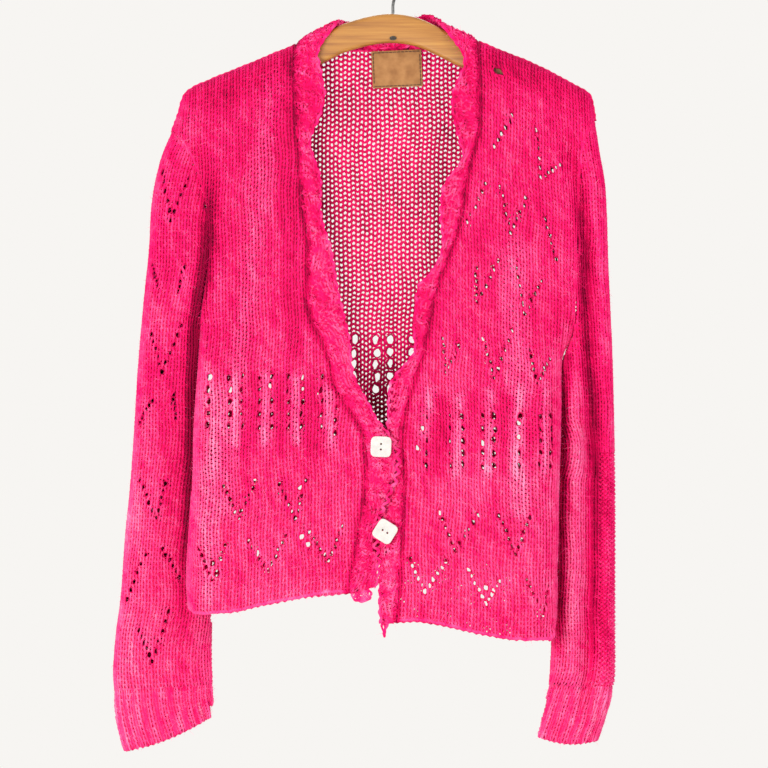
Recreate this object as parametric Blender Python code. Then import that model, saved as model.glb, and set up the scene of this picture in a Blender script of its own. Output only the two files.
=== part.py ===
"""Openwork hand-knitted cardigan on a curved wooden hanger, in metres, +Z up.

The origin is the inside top of the hook, where a rail or a nail carries it. The front faces -Y.
All tables are in millimetres. Cloth is a height field over the front view: every outer point is a
place (x, z) with a depth y that rounds over at the folds where the front meets the back.
"""

import math

import bpy
import numpy as np
from mathutils import Vector
from mathutils.bvhtree import BVHTree
from mathutils.geometry import delaunay_2d_cdt

MM = 0.001

# Cloth sizes
WALL = 3.0
SEAM_GAP = 0.35
SEAT_GAP = 0.3
FOLD_RADIUS_SHOULDER = 16.0
FOLD_RADIUS_SIDE = 30.0
EDGE_STEP = 19.0
BAND_STEP = 14.0
FOLD_STEP = 23.0
FOLD_ROWS = (1.6, 6.0, 15.0)
INNER_STEP = 31.0
ROW_DRIFT = 0.6
EDGE_CLEARANCE = 1.2
HOLE_CLEARANCE = 1.5
SAME_PLACE = 2.6
GRID_SAME_PLACE = 6.0
GRID_EDGE_CLEARANCE = 9.0
GRID_FOLD_CLEARANCE = 8.0
AT_FOLD = 0.3
FOLD_NUDGE = 0.04
LEAST_FOLD_SHARE = 0.0005
FOLD_SPREAD = 1.6
FOLD_END = 0.25
FOLD_END_START = 0.4
LINE_STEP = 6.0
CURVE_PARTS = 12

# Where the sleeves leave the body, and how far each then lies from the plane of the hanger
UNDERARM_Z = -377.0
SPREAD_Z = -520.0
BODY_FORWARD = 8.0
SLEEVE_BACK = 26.0

# Half depth of the body and of each sleeve: rows of z, depth
BODY_DEPTH = ((-810, 21), (-500, 22), (-377, 19), (-180, 16), (-60, 15))
SLEEVE_DEPTH_LEFT = ((-810, 13), (-700, 15), (-480, 16), (-377, 19), (-180, 16), (-60, 15))
SLEEVE_DEPTH_RIGHT = ((-810, 17), (-700, 20), (-480, 21), (-377, 19), (-180, 16), (-60, 15))

# Edges of the garment as seen from the front: rows of x, z
SHOULDER_LEFT = (
    (-97, -93), (-143, -112), (-175, -125), (-202, -137), (-209, -146), (-213, -160), (-220, -179),
)
SHOULDER_RIGHT = ((85, -90), (142, -113), (175, -130), (194, -141), (198, -150), (201, -167))
NECK_FOLD_LEFT = ((-57, -68.5), (-97, -93))
NECK_FOLD_RIGHT = ((49, -70.5), (85, -90))
ARMHOLE_LEFT = (
    (-220, -179), (-203, -202), (-190, -240), (-184, -275), (-184, -305), (-189, -345), (-193, -377),
)
ARMHOLE_RIGHT = ((201, -167), (190, -195), (186, -235), (184, -290), (183, -340), (181.5, -377))
SIDE_LEFT = (
    (-193, -377), (-195, -414), (-199, -471), (-201, -529), (-206, -605), (-207, -634), (-205, -657),
)
SIDE_RIGHT = (
    (181.5, -377), (178, -388), (171, -401), (168.5, -416), (168, -470), (166, -540), (164, -659),
    (162, -677),
)
OUTER_LEFT = (
    (-220, -179), (-232, -208), (-241, -250), (-244, -298), (-249, -347), (-255, -414),
    (-259, -471), (-264, -538), (-269, -586), (-273, -644), (-278, -682), (-281, -720), (-280, -740),
)
OUTER_RIGHT = (
    (201, -167), (207, -204), (212, -234), (214, -271), (215, -308), (218, -373),
    (220, -419), (222, -484), (223, -539), (223, -659), (223, -723), (220.5, -738),
)
INNER_LEFT = (
    (-193, -377), (-195, -410), (-195, -440), (-191, -480), (-185, -530), (-182, -600), (-182, -693),
    (-181, -735),
)
INNER_RIGHT = (
    (181.5, -377), (180, -395), (175, -412), (170, -435), (166, -465), (162, -500), (160, -560), (159, -650),
    (159, -700), (157, -734),
)
CUFF_OUTER_LEFT = ((-280, -740), (-279, -760), (-276, -780), (-270, -801))
CUFF_OUTER_RIGHT = ((220.5, -738), (217, -755), (212, -774), (206, -790))
CUFF_INNER_LEFT = ((-181, -735), (-180, -745), (-181, -756), (-182, -766))
CUFF_INNER_RIGHT = ((157, -734), (153, -750), (149, -768), (145, -786))
CUFF_HEM_SAG = 5.0
HEM_LEFT = ((-205, -657), (-195, -662), (-159, -660), (-129, -653), (-86, -645), (-63, -641), (-46, -641))
HEM_RIGHT = ((162, -677), (156, -687), (123, -688), (87, -682), (49, -673), (25, -669), (4, -670))
HEM_BACK = (
    (-205, -657), (-165, -645), (-123, -634), (-60, -618), (0, -611), (60, -611), (107, -614), (135, -640),
    (162, -677),
)

# Crochet edging, a row for each section: outer x, outer z, free edge x, free edge z
BAND_LEFT = (
    (-97, -93, -57, -68.5), (-98, -97, -64, -79), (-99, -101, -71, -90), (-100, -106, -76, -102),
    (-100, -125, -72, -123), (-99, -145, -69, -146), (-98, -166, -75, -168), (-96, -188, -83, -187),
    (-95, -204, -81, -203), (-94, -224, -73, -227), (-91, -258, -73, -259), (-87, -280, -68, -281),
    (-86, -301, -62, -300), (-87, -337, -56, -337), (-85, -362, -50, -362), (-73, -387, -44, -389),
    (-63, -414, -42, -414), (-60, -434, -37, -431), (-46, -456, -25, -452), (-37, -470, -16, -469),
    (-30, -485, -4, -484), (-27, -507, 4, -506), (-27, -524, 2, -524), (-28, -541, -4, -541),
    (-31, -557, -12, -557), (-34, -575, -18, -573), (-37, -594, -20, -590), (-40, -612, -17, -606),
    (-43, -628, -15, -622), (-46, -641, -18, -636), (-44, -648, -24, -651),
)
BAND_RIGHT = (
    (85, -90, 49, -70.5), (85.5, -96, 56, -80), (86, -102, 63, -90), (86.5, -114, 72, -111),
    (87.5, -138, 61, -140), (88, -160, 60, -160), (85, -186, 67, -190), (79, -207, 71, -206),
    (76, -222, 62, -220), (73, -236, 51, -235), (69, -262, 48, -262), (64, -285, 50, -287),
    (57, -302, 48, -304), (51, -318, 38, -322), (45, -334, 26, -335), (40, -354, 23, -354),
    (35, -379, 21, -379), (31, -399, 22, -400), (26, -416, 12, -414), (21, -432, -1, -430),
    (16, -449, -4, -448), (10, -476, -5, -477), (10, -499, -9, -499), (11, -529, -11, -529),
    (11, -549, -10, -549), (10, -569, -9, -569), (9, -592, -12, -594), (8, -612, -12, -612),
    (7, -634, -13, -634), (5, -655, -13, -655), (4, -670, -12, -672), (-2, -677, -9, -686),
)
BAND_NECK = (
    (-97, -93, -57, -68.5), (-91, -94.5, -54, -68.5), (-84, -95.6, -50, -69), (-66, -97.2, -42, -70.5),
    (-45, -98.2, -30, -72.5), (-20, -98.8, -12, -73), (5, -98.9, 8, -71), (28, -98.6, 22, -65.5),
    (48, -97.8, 32, -63), (64, -96, 41, -65.5), (76, -93.4, 46, -68.5), (81, -91.8, 47.5, -69.5),
    (85, -90, 49, -70.5),
)
# Across a band: share of the way to the free edge, height over the cloth's outer face
BAND_SECTION = ((0, 0), (0.22, 2.6), (0.6, 1.8), (0.92, 0.6), (1, -1.5), (0.9, -3.7), (0.5, -4.0), (0, -3.0))

# The left edging laps over the right one at the buttons: rows of z, forward lift
LAP_LIFT = ((-700, 2), (-585, 2), (-552, 8), (-490, 8), (-445, 0), (-60, 0))
LAP_SINK = ((-700, 1), (-560, 3), (-480, 3), (-430, 0), (-60, 0))
LAP_REACH = 70.0

# Largest folds: x and z of both ends, half width, depth (into the garment where positive)
FRONT_FOLDS = (
    (-197, -195, -188, -395, 17, 7), (176, -190, 196, -300, 12, 8), (195, -290, 200, -520, 13, 15),
    (200, -480, 196, -760, 13, 13), (-140, -500, -128, -665, 22, -3), (40, -400, 46, -560, 18, 4),
    (-232, -330, -240, -640, 20, -3),
)
BACK_FOLDS = (
    (-192, -200, -188, -395, 17, 6), (186, -200, 190, -390, 15, 7), (192, -420, 190, -720, 14, 9),
    (-60, -300, -70, -620, 34, 4), (70, -320, 84, -630, 30, 4), (-232, -420, -236, -700, 18, 5),
)

# Ladders of dropped stitches: x of each column, z of its top, number of gaps between rungs
LADDER_WIDTH, LADDER_HEIGHT, LADDER_PITCH = 6.2, 9.4, 12.4
LADDERS_LEFT = (
    (-185, -421, 5), (-163, -421, 5), (-151, -421, 5), (-133, -421, 5), (-121, -421, 5),
    (-104, -421, 5), (-91, -421, 5), (-71, -423, 5), (-57, -452, 3),
)
LADDERS_RIGHT = (
    (34, -460, 5), (56, -460, 5), (69, -460, 5), (89, -460, 5), (101, -460, 5),
    (126, -460, 5), (147, -460, 5), (158, -460, 5),
)
BACK_LADDER_TOP, BACK_LADDER_GAPS = -384, 5
BACK_LADDER_MIDDLE, BACK_LADDER_REPEAT, BACK_LADDER_PAIR = -10.0, 36.0, 13.0
BACK_LADDER_PAIRS = range(-5, 5)

# Chevrons of eyelets: tip x, tip z, left arm x, left arm z, right arm x, right arm z
EYELET_WIDTH, EYELET_HEIGHT, EYELETS_PER_ARM = 5.0, 7.0, 3
CHEVRONS_LEFT = (
    (-154, -567, -169, -535, -137, -529), (-97, -567, -113, -533, -86, -529),
    (-181, -628, -194, -598, -168, -594), (-124, -619, -145, -590, -107, -584),
    (-64, -609, -83, -581, -51, -575),
)
CHEVRONS_RIGHT = (
    (62, -599, 46, -560, 85, -564), (123, -603, 106, -564, 136, -566),
    (32, -640, 17, -608, 52, -610), (93, -652, 75, -618, 107, -630),
    (151, -664, 134, -628, 156, -634),
)
# Worn hole: middle x, middle z, width, height, turn in degrees
WORN_HOLE = (105, -121, 13, 7, -32)

# Ribs of the cuffs
RIB_PITCH, RIB_RISE, CUFF_ROWS, POINTS_PER_RIB = 11.5, 1.6, 3, 4
RIB_START, EDGE_CROWDING = 0.35, 0.35

# Hanger: rows of x, z of the top edge, height
HANGER_TOP = (
    (-194, -140, 10), (-191, -138.6, 16), (-180, -132, 22), (-143, -115.6, 26), (-97, -99.4, 27),
    (-77, -87.4, 28), (-58, -76.4, 29), (-47, -71.5, 29), (-22, -64.6, 29), (0, -62.4, 29), (24, -66.2, 29),
    (47, -76.4, 29), (62, -84, 29), (85, -96.2, 27), (142, -116.8, 26), (172, -133.2, 22),
    (183, -141, 16), (186, -144, 10),
)
HANGER_THICKNESS, HANGER_ROUND, END_ROUND = 12.0, 4.5, 0.4
WIRE, HOOK_INNER_RADIUS, WIRE_STEP = 3.0, 16.5, 4.0
NAIL_PLACE, NAIL_SIZE, NAIL_RISE = (0, -87), (7, 4.5), 1.2

# Buttons: x, z, side, turn in degrees
BUTTON_UPPER = (-12, -495.5, 20.5, 2)
BUTTON_LOWER = (-8, -580, 21, 32)
BUTTON_THICKNESS, BUTTON_CORNER, BUTTON_HOLE, BUTTON_HOLES_APART = 4.0, 4.5, 2.0, 5.5
SEAT_SAMPLES = 15

# Label: middle x, middle z, width, height, turn in degrees
LABEL = (4, -117, 50, 37, 2.5)
LABEL_THICKNESS = 1.0


def column(rows, at, z):
    """The value in column `at` of rows sorted by their first column, read at z."""
    table = np.array(sorted(rows), float)
    return np.interp(z, table[:, 0], table[:, at])


def smooth(t):
    t = np.clip(t, 0, 1)
    return t * t * (3 - 2 * t)


def curve_through(rows, step):
    """Evenly spaced points on a smooth curve through the rows."""
    points = np.array(rows, float)
    padded = np.vstack([2 * points[0] - points[1], points, 2 * points[-1] - points[-2]])
    fine = []
    t = np.linspace(0, 1, CURVE_PARTS, endpoint=False)[:, None]
    for a, b, c, d in zip(padded, padded[1:], padded[2:], padded[3:]):
        square = 2 * a - 5 * b + 4 * c - d
        cube = 3 * b - a - 3 * c + d
        fine.append(0.5 * (2 * b + (c - a) * t + square * t**2 + cube * t**3))
    fine = np.vstack([*fine, points[-1:]])
    along = np.append(0, np.cumsum(np.linalg.norm(np.diff(fine, axis=0), axis=1)))
    places = np.linspace(0, along[-1], max(2, round(along[-1] / step) + 1))
    return np.column_stack([np.interp(places, along, fine[:, k]) for k in range(fine.shape[1])])


def nearest(points, lines):
    """Distance from each point to the nearest of the lines, and the direction away from it."""
    starts = np.vstack([line[:-1] for line in lines])
    runs = np.vstack([np.diff(line, axis=0) for line in lines])
    offset = points[:, None] - starts[None]
    share = np.clip((offset * runs).sum(2) / (runs**2).sum(1), 0, 1)
    away = offset - share[:, :, None] * runs
    length = np.linalg.norm(away, axis=2)
    pick = length.argmin(1)
    rows = np.arange(len(points))
    distance = np.maximum(length[rows, pick], 1e-6)
    return distance, away[rows, pick] / distance[:, None]


def folds(points, table):
    """Sum of soft troughs along straight lines."""
    total = np.zeros(len(points))
    for x0, z0, x1, z1, half_width, depth in table:
        start, run = np.array((x0, z0), float), np.array((x1 - x0, z1 - z0), float)
        share = (points - start) @ run / (run @ run)
        middle = start + np.clip(share, 0, 1)[:, None] * run
        across = np.linalg.norm(points - middle, axis=1) / half_width
        ends = smooth(share / FOLD_END + FOLD_END_START) * smooth((1 - share) / FOLD_END + FOLD_END_START)
        total += depth * ends * np.exp(-(across**2) * FOLD_SPREAD)
    return total


class Layer:
    """One flattened tube of cloth: its folds seen from the front, its middle plane and its half depth."""

    def __init__(self, lines, depth, shift, inside_x):
        self.lines = [curve_through(rows, LINE_STEP) for rows in lines]
        self.depth, self.shift, self.inside_x = depth, shift, inside_x

    def middle(self, points):
        return self.shift * smooth((UNDERARM_Z - points[:, 1]) / (UNDERARM_Z - SPREAD_Z))

    def extra(self, points, side, lap):
        """Folds and laps, along +Y."""
        if side > 0:
            return -folds(points, BACK_FOLDS)
        moved = folds(points, FRONT_FOLDS)
        if lap:
            near = smooth(1 - nearest(points, [LAP_LINE[lap]])[0] / LAP_REACH)
            table = LAP_LIFT if lap == "left" else LAP_SINK
            moved = moved + (-1 if lap == "left" else 1) * near * column(table, 1, points[:, 1])
        return moved

    def outer(self, points, side, lap=None):
        """Outer points (x, y, z) and outward normals; side is -1 for the front and +1 for the back."""
        points = np.asarray(points, float)
        middle_x = np.interp(points[:, 1], *self.inside_x)
        nudge = np.column_stack([np.sign(middle_x - points[:, 0]), np.full(len(points), -0.5)])
        distance, away = nearest(points + FOLD_NUDGE * nudge, self.lines)
        at_fold = nearest(points, self.lines)[0] < AT_FOLD
        radius = np.interp(points[:, 1], (UNDERARM_Z, -180), (FOLD_RADIUS_SIDE, FOLD_RADIUS_SHOULDER))
        left = 1 - np.clip(distance / radius, LEAST_FOLD_SHARE, 1)
        bulge = np.sqrt(1 - left**2)
        depth = column(self.depth, 1, points[:, 1])

        def plane(at):
            return self.middle(at) + self.extra(at, side, lap) * np.where(at_fold, 0, bulge)

        y = plane(points) + side * (depth * bulge + SEAM_GAP / 2)
        y = np.where(at_fold, self.middle(points) + side * SEAM_GAP / 2, y)
        step = 1.0
        slope = np.column_stack(
            [(plane(points + d) - plane(points - d)) / (2 * step) for d in step * np.eye(2)]
        )
        slope += side * (depth * left / bulge / radius)[:, None] * away
        normal = np.column_stack([-slope[:, 0], np.ones(len(points)), -slope[:, 1]]) * side
        normal[at_fold, 1] = 0
        normal /= np.linalg.norm(normal, axis=1)[:, None]
        return np.column_stack([points[:, 0], y, points[:, 1]]), normal


def band_rows(table):
    """The rows of an edging, evenly spaced, with the last one kept as its tip."""
    return np.vstack([curve_through(table[:-1], BAND_STEP), table[-1:]])


ROWS_LEFT, ROWS_RIGHT, ROWS_NECK = band_rows(BAND_LEFT), band_rows(BAND_RIGHT), np.array(BAND_NECK, float)
LAP_LINE = {"left": ROWS_LEFT[:, :2], "right": ROWS_RIGHT[:, :2]}
MIDDLE = ((-810, -60), (0, 0))
BODY = Layer(
    (SHOULDER_LEFT, SHOULDER_RIGHT, NECK_FOLD_LEFT, NECK_FOLD_RIGHT, SIDE_LEFT, SIDE_RIGHT,
     OUTER_LEFT[:4], OUTER_RIGHT[:4]),
    BODY_DEPTH, -BODY_FORWARD, MIDDLE,
)
SLEEVE_LEFT = Layer(
    (SHOULDER_LEFT, OUTER_LEFT, INNER_LEFT, CUFF_OUTER_LEFT, CUFF_INNER_LEFT),
    SLEEVE_DEPTH_LEFT, SLEEVE_BACK, ((-810, -377, -180), (-230, -220, -210)),
)
SLEEVE_RIGHT = Layer(
    (SHOULDER_RIGHT, OUTER_RIGHT, INNER_RIGHT, CUFF_OUTER_RIGHT, CUFF_INNER_RIGHT),
    SLEEVE_DEPTH_RIGHT, SLEEVE_BACK, ((-810, -377, -180), (180, 198, 197)),
)


def inside(points, loop):
    """Whether each point lies inside the closed loop."""
    x, z = points[:, :1], points[:, 1:]
    a, b = loop, np.roll(loop, -1, axis=0)
    crosses = (a[:, 1] > z) != (b[:, 1] > z)
    rise = np.where(b[:, 1] == a[:, 1], 1, b[:, 1] - a[:, 1])
    at = a[:, 0] + (z - a[:, 1]) * (b[:, 0] - a[:, 0]) / rise
    return (crosses & (x < at)).sum(1) % 2 == 1


def closed_loop(*edges):
    """One loop from edges laid end to end."""
    return np.vstack([edge[:-1] for edge in edges])


def clear_of(places, holes):
    """Whether each place stands clear of every hole."""
    clear = np.ones(len(places), bool)
    for hole in holes:
        middle = hole.mean(0)
        reach = np.linalg.norm(hole - middle, axis=1).max()
        clear &= np.linalg.norm(places - middle, axis=1) > reach + HOLE_CLEARANCE
    return clear


def inner_points(loop, layer, holes):
    """Points inside the loop, and the runs that join them: rows beside the folds, then a staggered grid."""
    points, runs = [], []
    border = [np.vstack([loop, loop[:1]])]

    def index_of(place, apart):
        for k in range(len(points)):
            if math.dist(points[k], place) < apart:
                return k
        points.append(place)
        return len(points) - 1

    for line in layer.lines:
        spaced = curve_through(line[:: max(1, round(FOLD_STEP / LINE_STEP))], FOLD_STEP)
        run = np.gradient(spaced, axis=0)
        across = np.column_stack([-run[:, 1], run[:, 0]]) / np.linalg.norm(run, axis=1)[:, None]
        for distance in FOLD_ROWS:
            for side in (-1, 1):
                row = spaced + side * distance * across
                usable = np.abs(nearest(row, layer.lines)[0] - distance) < ROW_DRIFT
                usable &= inside(row, loop) & clear_of(row, holes)
                usable &= nearest(row, border)[0] > EDGE_CLEARANCE
                previous = None
                for place, good in zip(row, usable):
                    index = index_of(tuple(place), SAME_PLACE) if good else None
                    if None not in (previous, index) and index != previous:
                        between = np.linspace(points[previous], points[index], CURVE_PARTS)
                        if clear_of(between, holes).all() and inside(between, loop).all():
                            runs.append((previous, index))
                    previous = index
    low, high = loop.min(0), loop.max(0)
    for k, z in enumerate(np.arange(low[1], high[1], INNER_STEP * math.sin(math.pi / 3))):
        xs = np.arange(low[0] + (k % 2) * INNER_STEP / 2, high[0], INNER_STEP)
        row = np.column_stack([xs, np.full(len(xs), z)])
        good = inside(row, loop) & clear_of(row, holes)
        good &= nearest(row, border)[0] > GRID_EDGE_CLEARANCE
        good &= nearest(row, layer.lines)[0] > FOLD_ROWS[-1] + GRID_FOLD_CLEARANCE
        for place in row[good]:
            index_of(tuple(place), GRID_SAME_PLACE)
    return points, runs


def triangulated(loop, holes, points, runs):
    """Points and triangles that fill the loop, leave the holes and keep the runs as edges."""
    coords, edges = [], []
    for ring in [loop, *holes]:
        first = len(coords)
        coords += [tuple(p) for p in ring]
        edges += [(first + k, first + (k + 1) % len(ring)) for k in range(len(ring))]
    edges += [(len(coords) + a, len(coords) + b) for a, b in runs]
    coords += [tuple(p) for p in points]
    found = delaunay_2d_cdt(coords, edges, [], 1, 1e-4)
    places = np.array([(p.x, p.y) for p in found[0]])
    middles = places[np.array(found[2])].mean(1)
    wanted = inside(middles, loop)
    for hole in holes:
        wanted &= ~inside(middles, hole)
    faces = []
    for a, b, c in (face for face, keep in zip(found[2], wanted) if keep):
        turn = np.cross(places[b] - places[a], places[c] - places[a])
        faces.append((a, b, c) if turn > 0 else (a, c, b))
    used = sorted({k for face in faces for k in face})
    order = {old: new for new, old in enumerate(used)}
    return places[used], [tuple(order[k] for k in face) for face in faces]


def rim_faces(points, a, b, inner_b, inner_a):
    """Two triangles across a wall's end, split from the higher outer point, as on the piece it meets."""
    if points[a][2] > points[b][2]:
        return [(a, b, inner_b), (a, inner_b, inner_a)]
    return [(a, b, inner_a), (b, inner_b, inner_a)]


def closed_mesh(name, outer, normals, faces, material, wall=WALL):
    """A closed wall from an open outer surface: outer face, inner face and the rims between."""
    count = len(outer)
    inner = outer - wall * normals
    once = {}
    for face in faces:
        for a, b in zip(face, face[1:] + face[:1]):
            if (b, a) in once:
                del once[(b, a)]
            else:
                once[(a, b)] = True
    solid = list(faces)
    solid += [tuple(k + count for k in reversed(face)) for face in faces]
    for a, b in once:
        solid += rim_faces(outer, b, a, a + count, b + count)
    return mesh_object(name, np.vstack([outer, inner]), solid, material)


def facing_out(points, faces):
    """The faces of a closed body, all turned round where they enclose a negative volume."""
    corners = points[np.array(faces)]
    volume = np.einsum("ij,ij->i", corners[:, 0], np.cross(corners[:, 1], corners[:, 2])).sum()
    return faces if volume > 0 else [face[::-1] for face in faces]


def mesh_object(name, points, faces, material, sharp_degrees=50):
    mesh = bpy.data.meshes.new(name)
    mesh.from_pydata([tuple(p) for p in np.asarray(points) * MM], [], [tuple(map(int, f)) for f in faces])
    mesh.validate()
    mesh.shade_smooth()
    mesh.set_sharp_from_angle(angle=math.radians(sharp_degrees))
    mesh.materials.append(material)
    thing = bpy.data.objects.new(name, mesh)
    bpy.context.scene.collection.objects.link(thing)
    return thing


def finish(name, colour, roughness, metallic=0.0):
    material = bpy.data.materials.new(name)
    material.use_nodes = True
    shader = material.node_tree.nodes["Principled BSDF"]
    shader.inputs["Base Color"].default_value = (*colour, 1)
    shader.inputs["Roughness"].default_value = roughness
    shader.inputs["Metallic"].default_value = metallic
    return material


def ladder_gaps(x, top, gaps):
    """A column of gaps between the rungs of a dropped stitch."""
    w, h = LADDER_WIDTH / 2, LADDER_HEIGHT / 2
    found = []
    for k in range(gaps):
        z = top - h - k * LADDER_PITCH
        found.append(np.array(((x - w, z - h), (x + w, z - h), (x + w, z + h), (x - w, z + h))))
    return found


def eyelet(x, z):
    w, h = EYELET_WIDTH / 2, EYELET_HEIGHT / 2
    return np.array(((x, z - h), (x + w, z), (x, z + h), (x - w, z)))


def chevron(tip_x, tip_z, left_x, left_z, right_x, right_z):
    """Eyelets up both arms of a V, with one at its tip."""
    found = [eyelet(tip_x, tip_z)]
    for end_x, end_z in ((left_x, left_z), (right_x, right_z)):
        for k in range(1, EYELETS_PER_ARM + 1):
            share = k / EYELETS_PER_ARM
            found.append(eyelet(tip_x + share * (end_x - tip_x), tip_z + share * (end_z - tip_z)))
    return found


def worn_hole(x, z, width, height, turn):
    angles = np.arange(0, 360, 60) + 30
    flat = np.column_stack([width / 2 * np.cos(np.radians(angles)), height / 2 * np.sin(np.radians(angles))])
    c, s = math.cos(math.radians(turn)), math.sin(math.radians(turn))
    return flat @ np.array(((c, s), (-s, c))) + (x, z)


def panel(name, loop, holes, side, lap, material):
    """A knitted front or back, filled over its outline and moved to its depth."""
    points, faces = triangulated(loop, holes, *inner_points(loop, BODY, holes))
    outer, normals = BODY.outer(points, side, lap)
    if side > 0:
        faces = [face[::-1] for face in faces]
    return closed_mesh(name, outer, normals, faces, material)


def sleeve_half(name, layer, side, armhole, outer_edge, inner_edge, side_sign, material):
    """The front or the back of a sleeve, from its outer fold to its inner one and its armhole."""
    seam = curve_through(armhole, EDGE_STEP)
    wrist = curve_through((outer_edge[-1], inner_edge[-1]), EDGE_STEP)
    down = curve_through(outer_edge, EDGE_STEP)
    up = curve_through(inner_edge, EDGE_STEP)[::-1]
    loop = closed_loop(down, wrist, up, seam[::-1])
    if side_sign > 0:
        loop = loop[::-1]
    places, faces = triangulated(loop, [], *inner_points(loop, layer, []))
    outer, normals = layer.outer(places, side)
    outer[:, 0] += np.where(nearest(places, [seam])[0] < AT_FOLD, side_sign * SEAM_GAP, 0)
    if side > 0:
        faces = [face[::-1] for face in faces]
    return closed_mesh(name, outer, normals, faces, material)


def along_line(line, t):
    """The point at share t of the way along a line."""
    return np.array([np.interp(t, np.linspace(0, 1, len(line)), line[:, k]) for k in (0, 1)])


def cuff(name, layer, outer_edge, inner_edge, material):
    """A ribbed cuff, ringed by the same folds as its sleeve, with ribs on its outer face."""
    steps = np.linspace(0, 1, CUFF_ROWS + 1)
    outer_line = curve_through(outer_edge, LINE_STEP)
    inner_line = curve_through(inner_edge, LINE_STEP)
    ribs = round(np.linalg.norm(outer_line[0] - inner_line[0]) / RIB_PITCH)
    columns = np.arange(ribs * POINTS_PER_RIB + 1) / (ribs * POINTS_PER_RIB)
    spread = (1 - np.cos(columns * math.pi)) / 2 * EDGE_CROWDING + columns * (1 - EDGE_CROWDING)
    rise = np.tile((0.0, 1.0, 1.0, 0.0), ribs + 1)[: len(columns)] * RIB_RISE
    rings = []
    for row, t in enumerate(steps):
        a, b = along_line(outer_line, t), along_line(inner_line, t)
        places = a + spread[:, None] * (b - a)
        places[:, 1] -= CUFF_HEM_SAG * t * np.sin(spread * math.pi)
        if row == 0:
            places[:, 1] -= SEAM_GAP
        front, front_normals = layer.outer(places, -1)
        back, back_normals = layer.outer(places, 1)
        middle_y = layer.middle(places)
        for end in (0, -1):
            front[end, 1] = middle_y[end]
        raised = np.sin(np.clip(t * CUFF_ROWS + RIB_START, 0, 1) * math.pi / 2) * rise
        raised[[0, -1]] = 0
        ring = np.vstack([front, back[-2:0:-1]])
        normals = np.vstack([front_normals, back_normals[-2:0:-1]])
        lift = np.concatenate([raised, raised[-2:0:-1]])
        rings.append((ring, normals, lift))
    around = len(rings[0][0])
    outer = np.vstack([ring + lift[:, None] * normals for ring, normals, lift in rings])
    inner = np.vstack([ring - WALL * normals for ring, normals, _ in rings])
    count = len(outer)
    faces = []
    for row in range(CUFF_ROWS):
        for k in range(around):
            a, b = row * around + k, row * around + (k + 1) % around
            c, d = b + around, a + around
            faces += [(a, b, c), (a, c, d)]
            faces += [(a + count, c + count, b + count), (a + count, d + count, c + count)]
    for row, flip in ((0, False), (CUFF_ROWS, True)):
        for k in range(around):
            a, b = row * around + k, row * around + (k + 1) % around
            pair = [(b, a, a + count), (b, a + count, b + count)]
            faces += [face[::-1] for face in pair] if flip else pair
    points = np.vstack([outer, inner])
    return mesh_object(name, points, facing_out(points, faces), material)


def band(name, rows, side, lap, material):
    """A strip of crochet edging, swept down its rows with a rounded section."""
    free_edge = rows[:, 2:]
    across = free_edge - rows[:, :2]
    outer_edge = rows[:, :2] + SEAM_GAP * across / np.linalg.norm(across, axis=1)[:, None]
    rings = []
    for share, height in BAND_SECTION:
        places = outer_edge + share * (free_edge - outer_edge)
        points, normals = BODY.outer(places, side, lap)
        rings.append(points + height * normals)
    rings = np.array(rings).transpose(1, 0, 2)
    around = len(BAND_SECTION)
    points = rings.reshape(-1, 3)
    faces = []
    for row in range(len(rings) - 1):
        for k in range(around - 1):
            a, b = row * around + k, row * around + k + 1
            faces += [(a, b, b + around), (a, b + around, a + around)]
        top, low = row * around, (row + 1) * around
        faces += rim_faces(points, top, low, low + around - 1, top + around - 1)
    last = (len(rings) - 1) * around
    for k in range(1, around - 1):
        faces.append((0, k + 1, k))
        faces.append((last, last + k, last + k + 1))
    return mesh_object(name, points, facing_out(points, faces), material)


def swept_wood(name, material):
    """The hanger: a rounded upright section carried along its curved top edge."""
    rows = np.array(HANGER_TOP, float)
    half, r = HANGER_THICKNESS / 2, HANGER_ROUND
    points, around = [], 12
    for x, top, height in rows:
        corner = min(r, height * END_ROUND)
        section = []
        for cy, cz, start in ((1, 1, 0), (-1, 1, 90), (-1, -1, 180), (1, -1, 270)):
            for turn in (0, 45, 90):
                angle = math.radians(start + turn)
                y = cy * (half - corner) + corner * math.cos(angle)
                z = top - height / 2 + cz * (height / 2 - corner) + corner * math.sin(angle)
                section.append((x, y, z))
        points += section
    faces = []
    for row in range(len(rows) - 1):
        for k in range(around):
            a, b = row * around + k, row * around + (k + 1) % around
            faces += [(a, b, b + around), (a, b + around, a + around)]
    last = (len(rows) - 1) * around
    for k in range(1, around - 1):
        faces.append((0, k + 1, k))
        faces.append((last, last + k, last + k + 1))
    return mesh_object(name, points, faces, material, 35)


def hook(name, material):
    """The wire hook: shank from the wood, a bend, and the open round top."""
    radius = HOOK_INNER_RADIUS + WIRE / 2
    centre_z = -HOOK_INNER_RADIUS
    foot_z = column(HANGER_TOP, 1, 0) + SEAT_GAP
    route = [(0, foot_z), (0, foot_z + 9), (1.2, foot_z + 14), (6, centre_z - radius - 1)]
    for degrees in range(-50, 201, 12):
        angle = math.radians(degrees)
        route.append((radius * math.cos(angle), centre_z + radius * math.sin(angle)))
    smooth_route = curve_through(route, WIRE_STEP)
    curve = bpy.data.curves.new(name, "CURVE")
    curve.dimensions = "3D"
    curve.bevel_depth = WIRE / 2 * MM
    curve.bevel_resolution = 2
    curve.use_fill_caps = True
    spline = curve.splines.new("POLY")
    spline.points.add(len(smooth_route) - 1)
    for point, (x, z) in zip(spline.points, smooth_route):
        point.co = (x * MM, 0, z * MM, 1)
    curve.materials.append(material)
    thing = bpy.data.objects.new(name, curve)
    bpy.context.scene.collection.objects.link(thing)
    return thing


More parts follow.
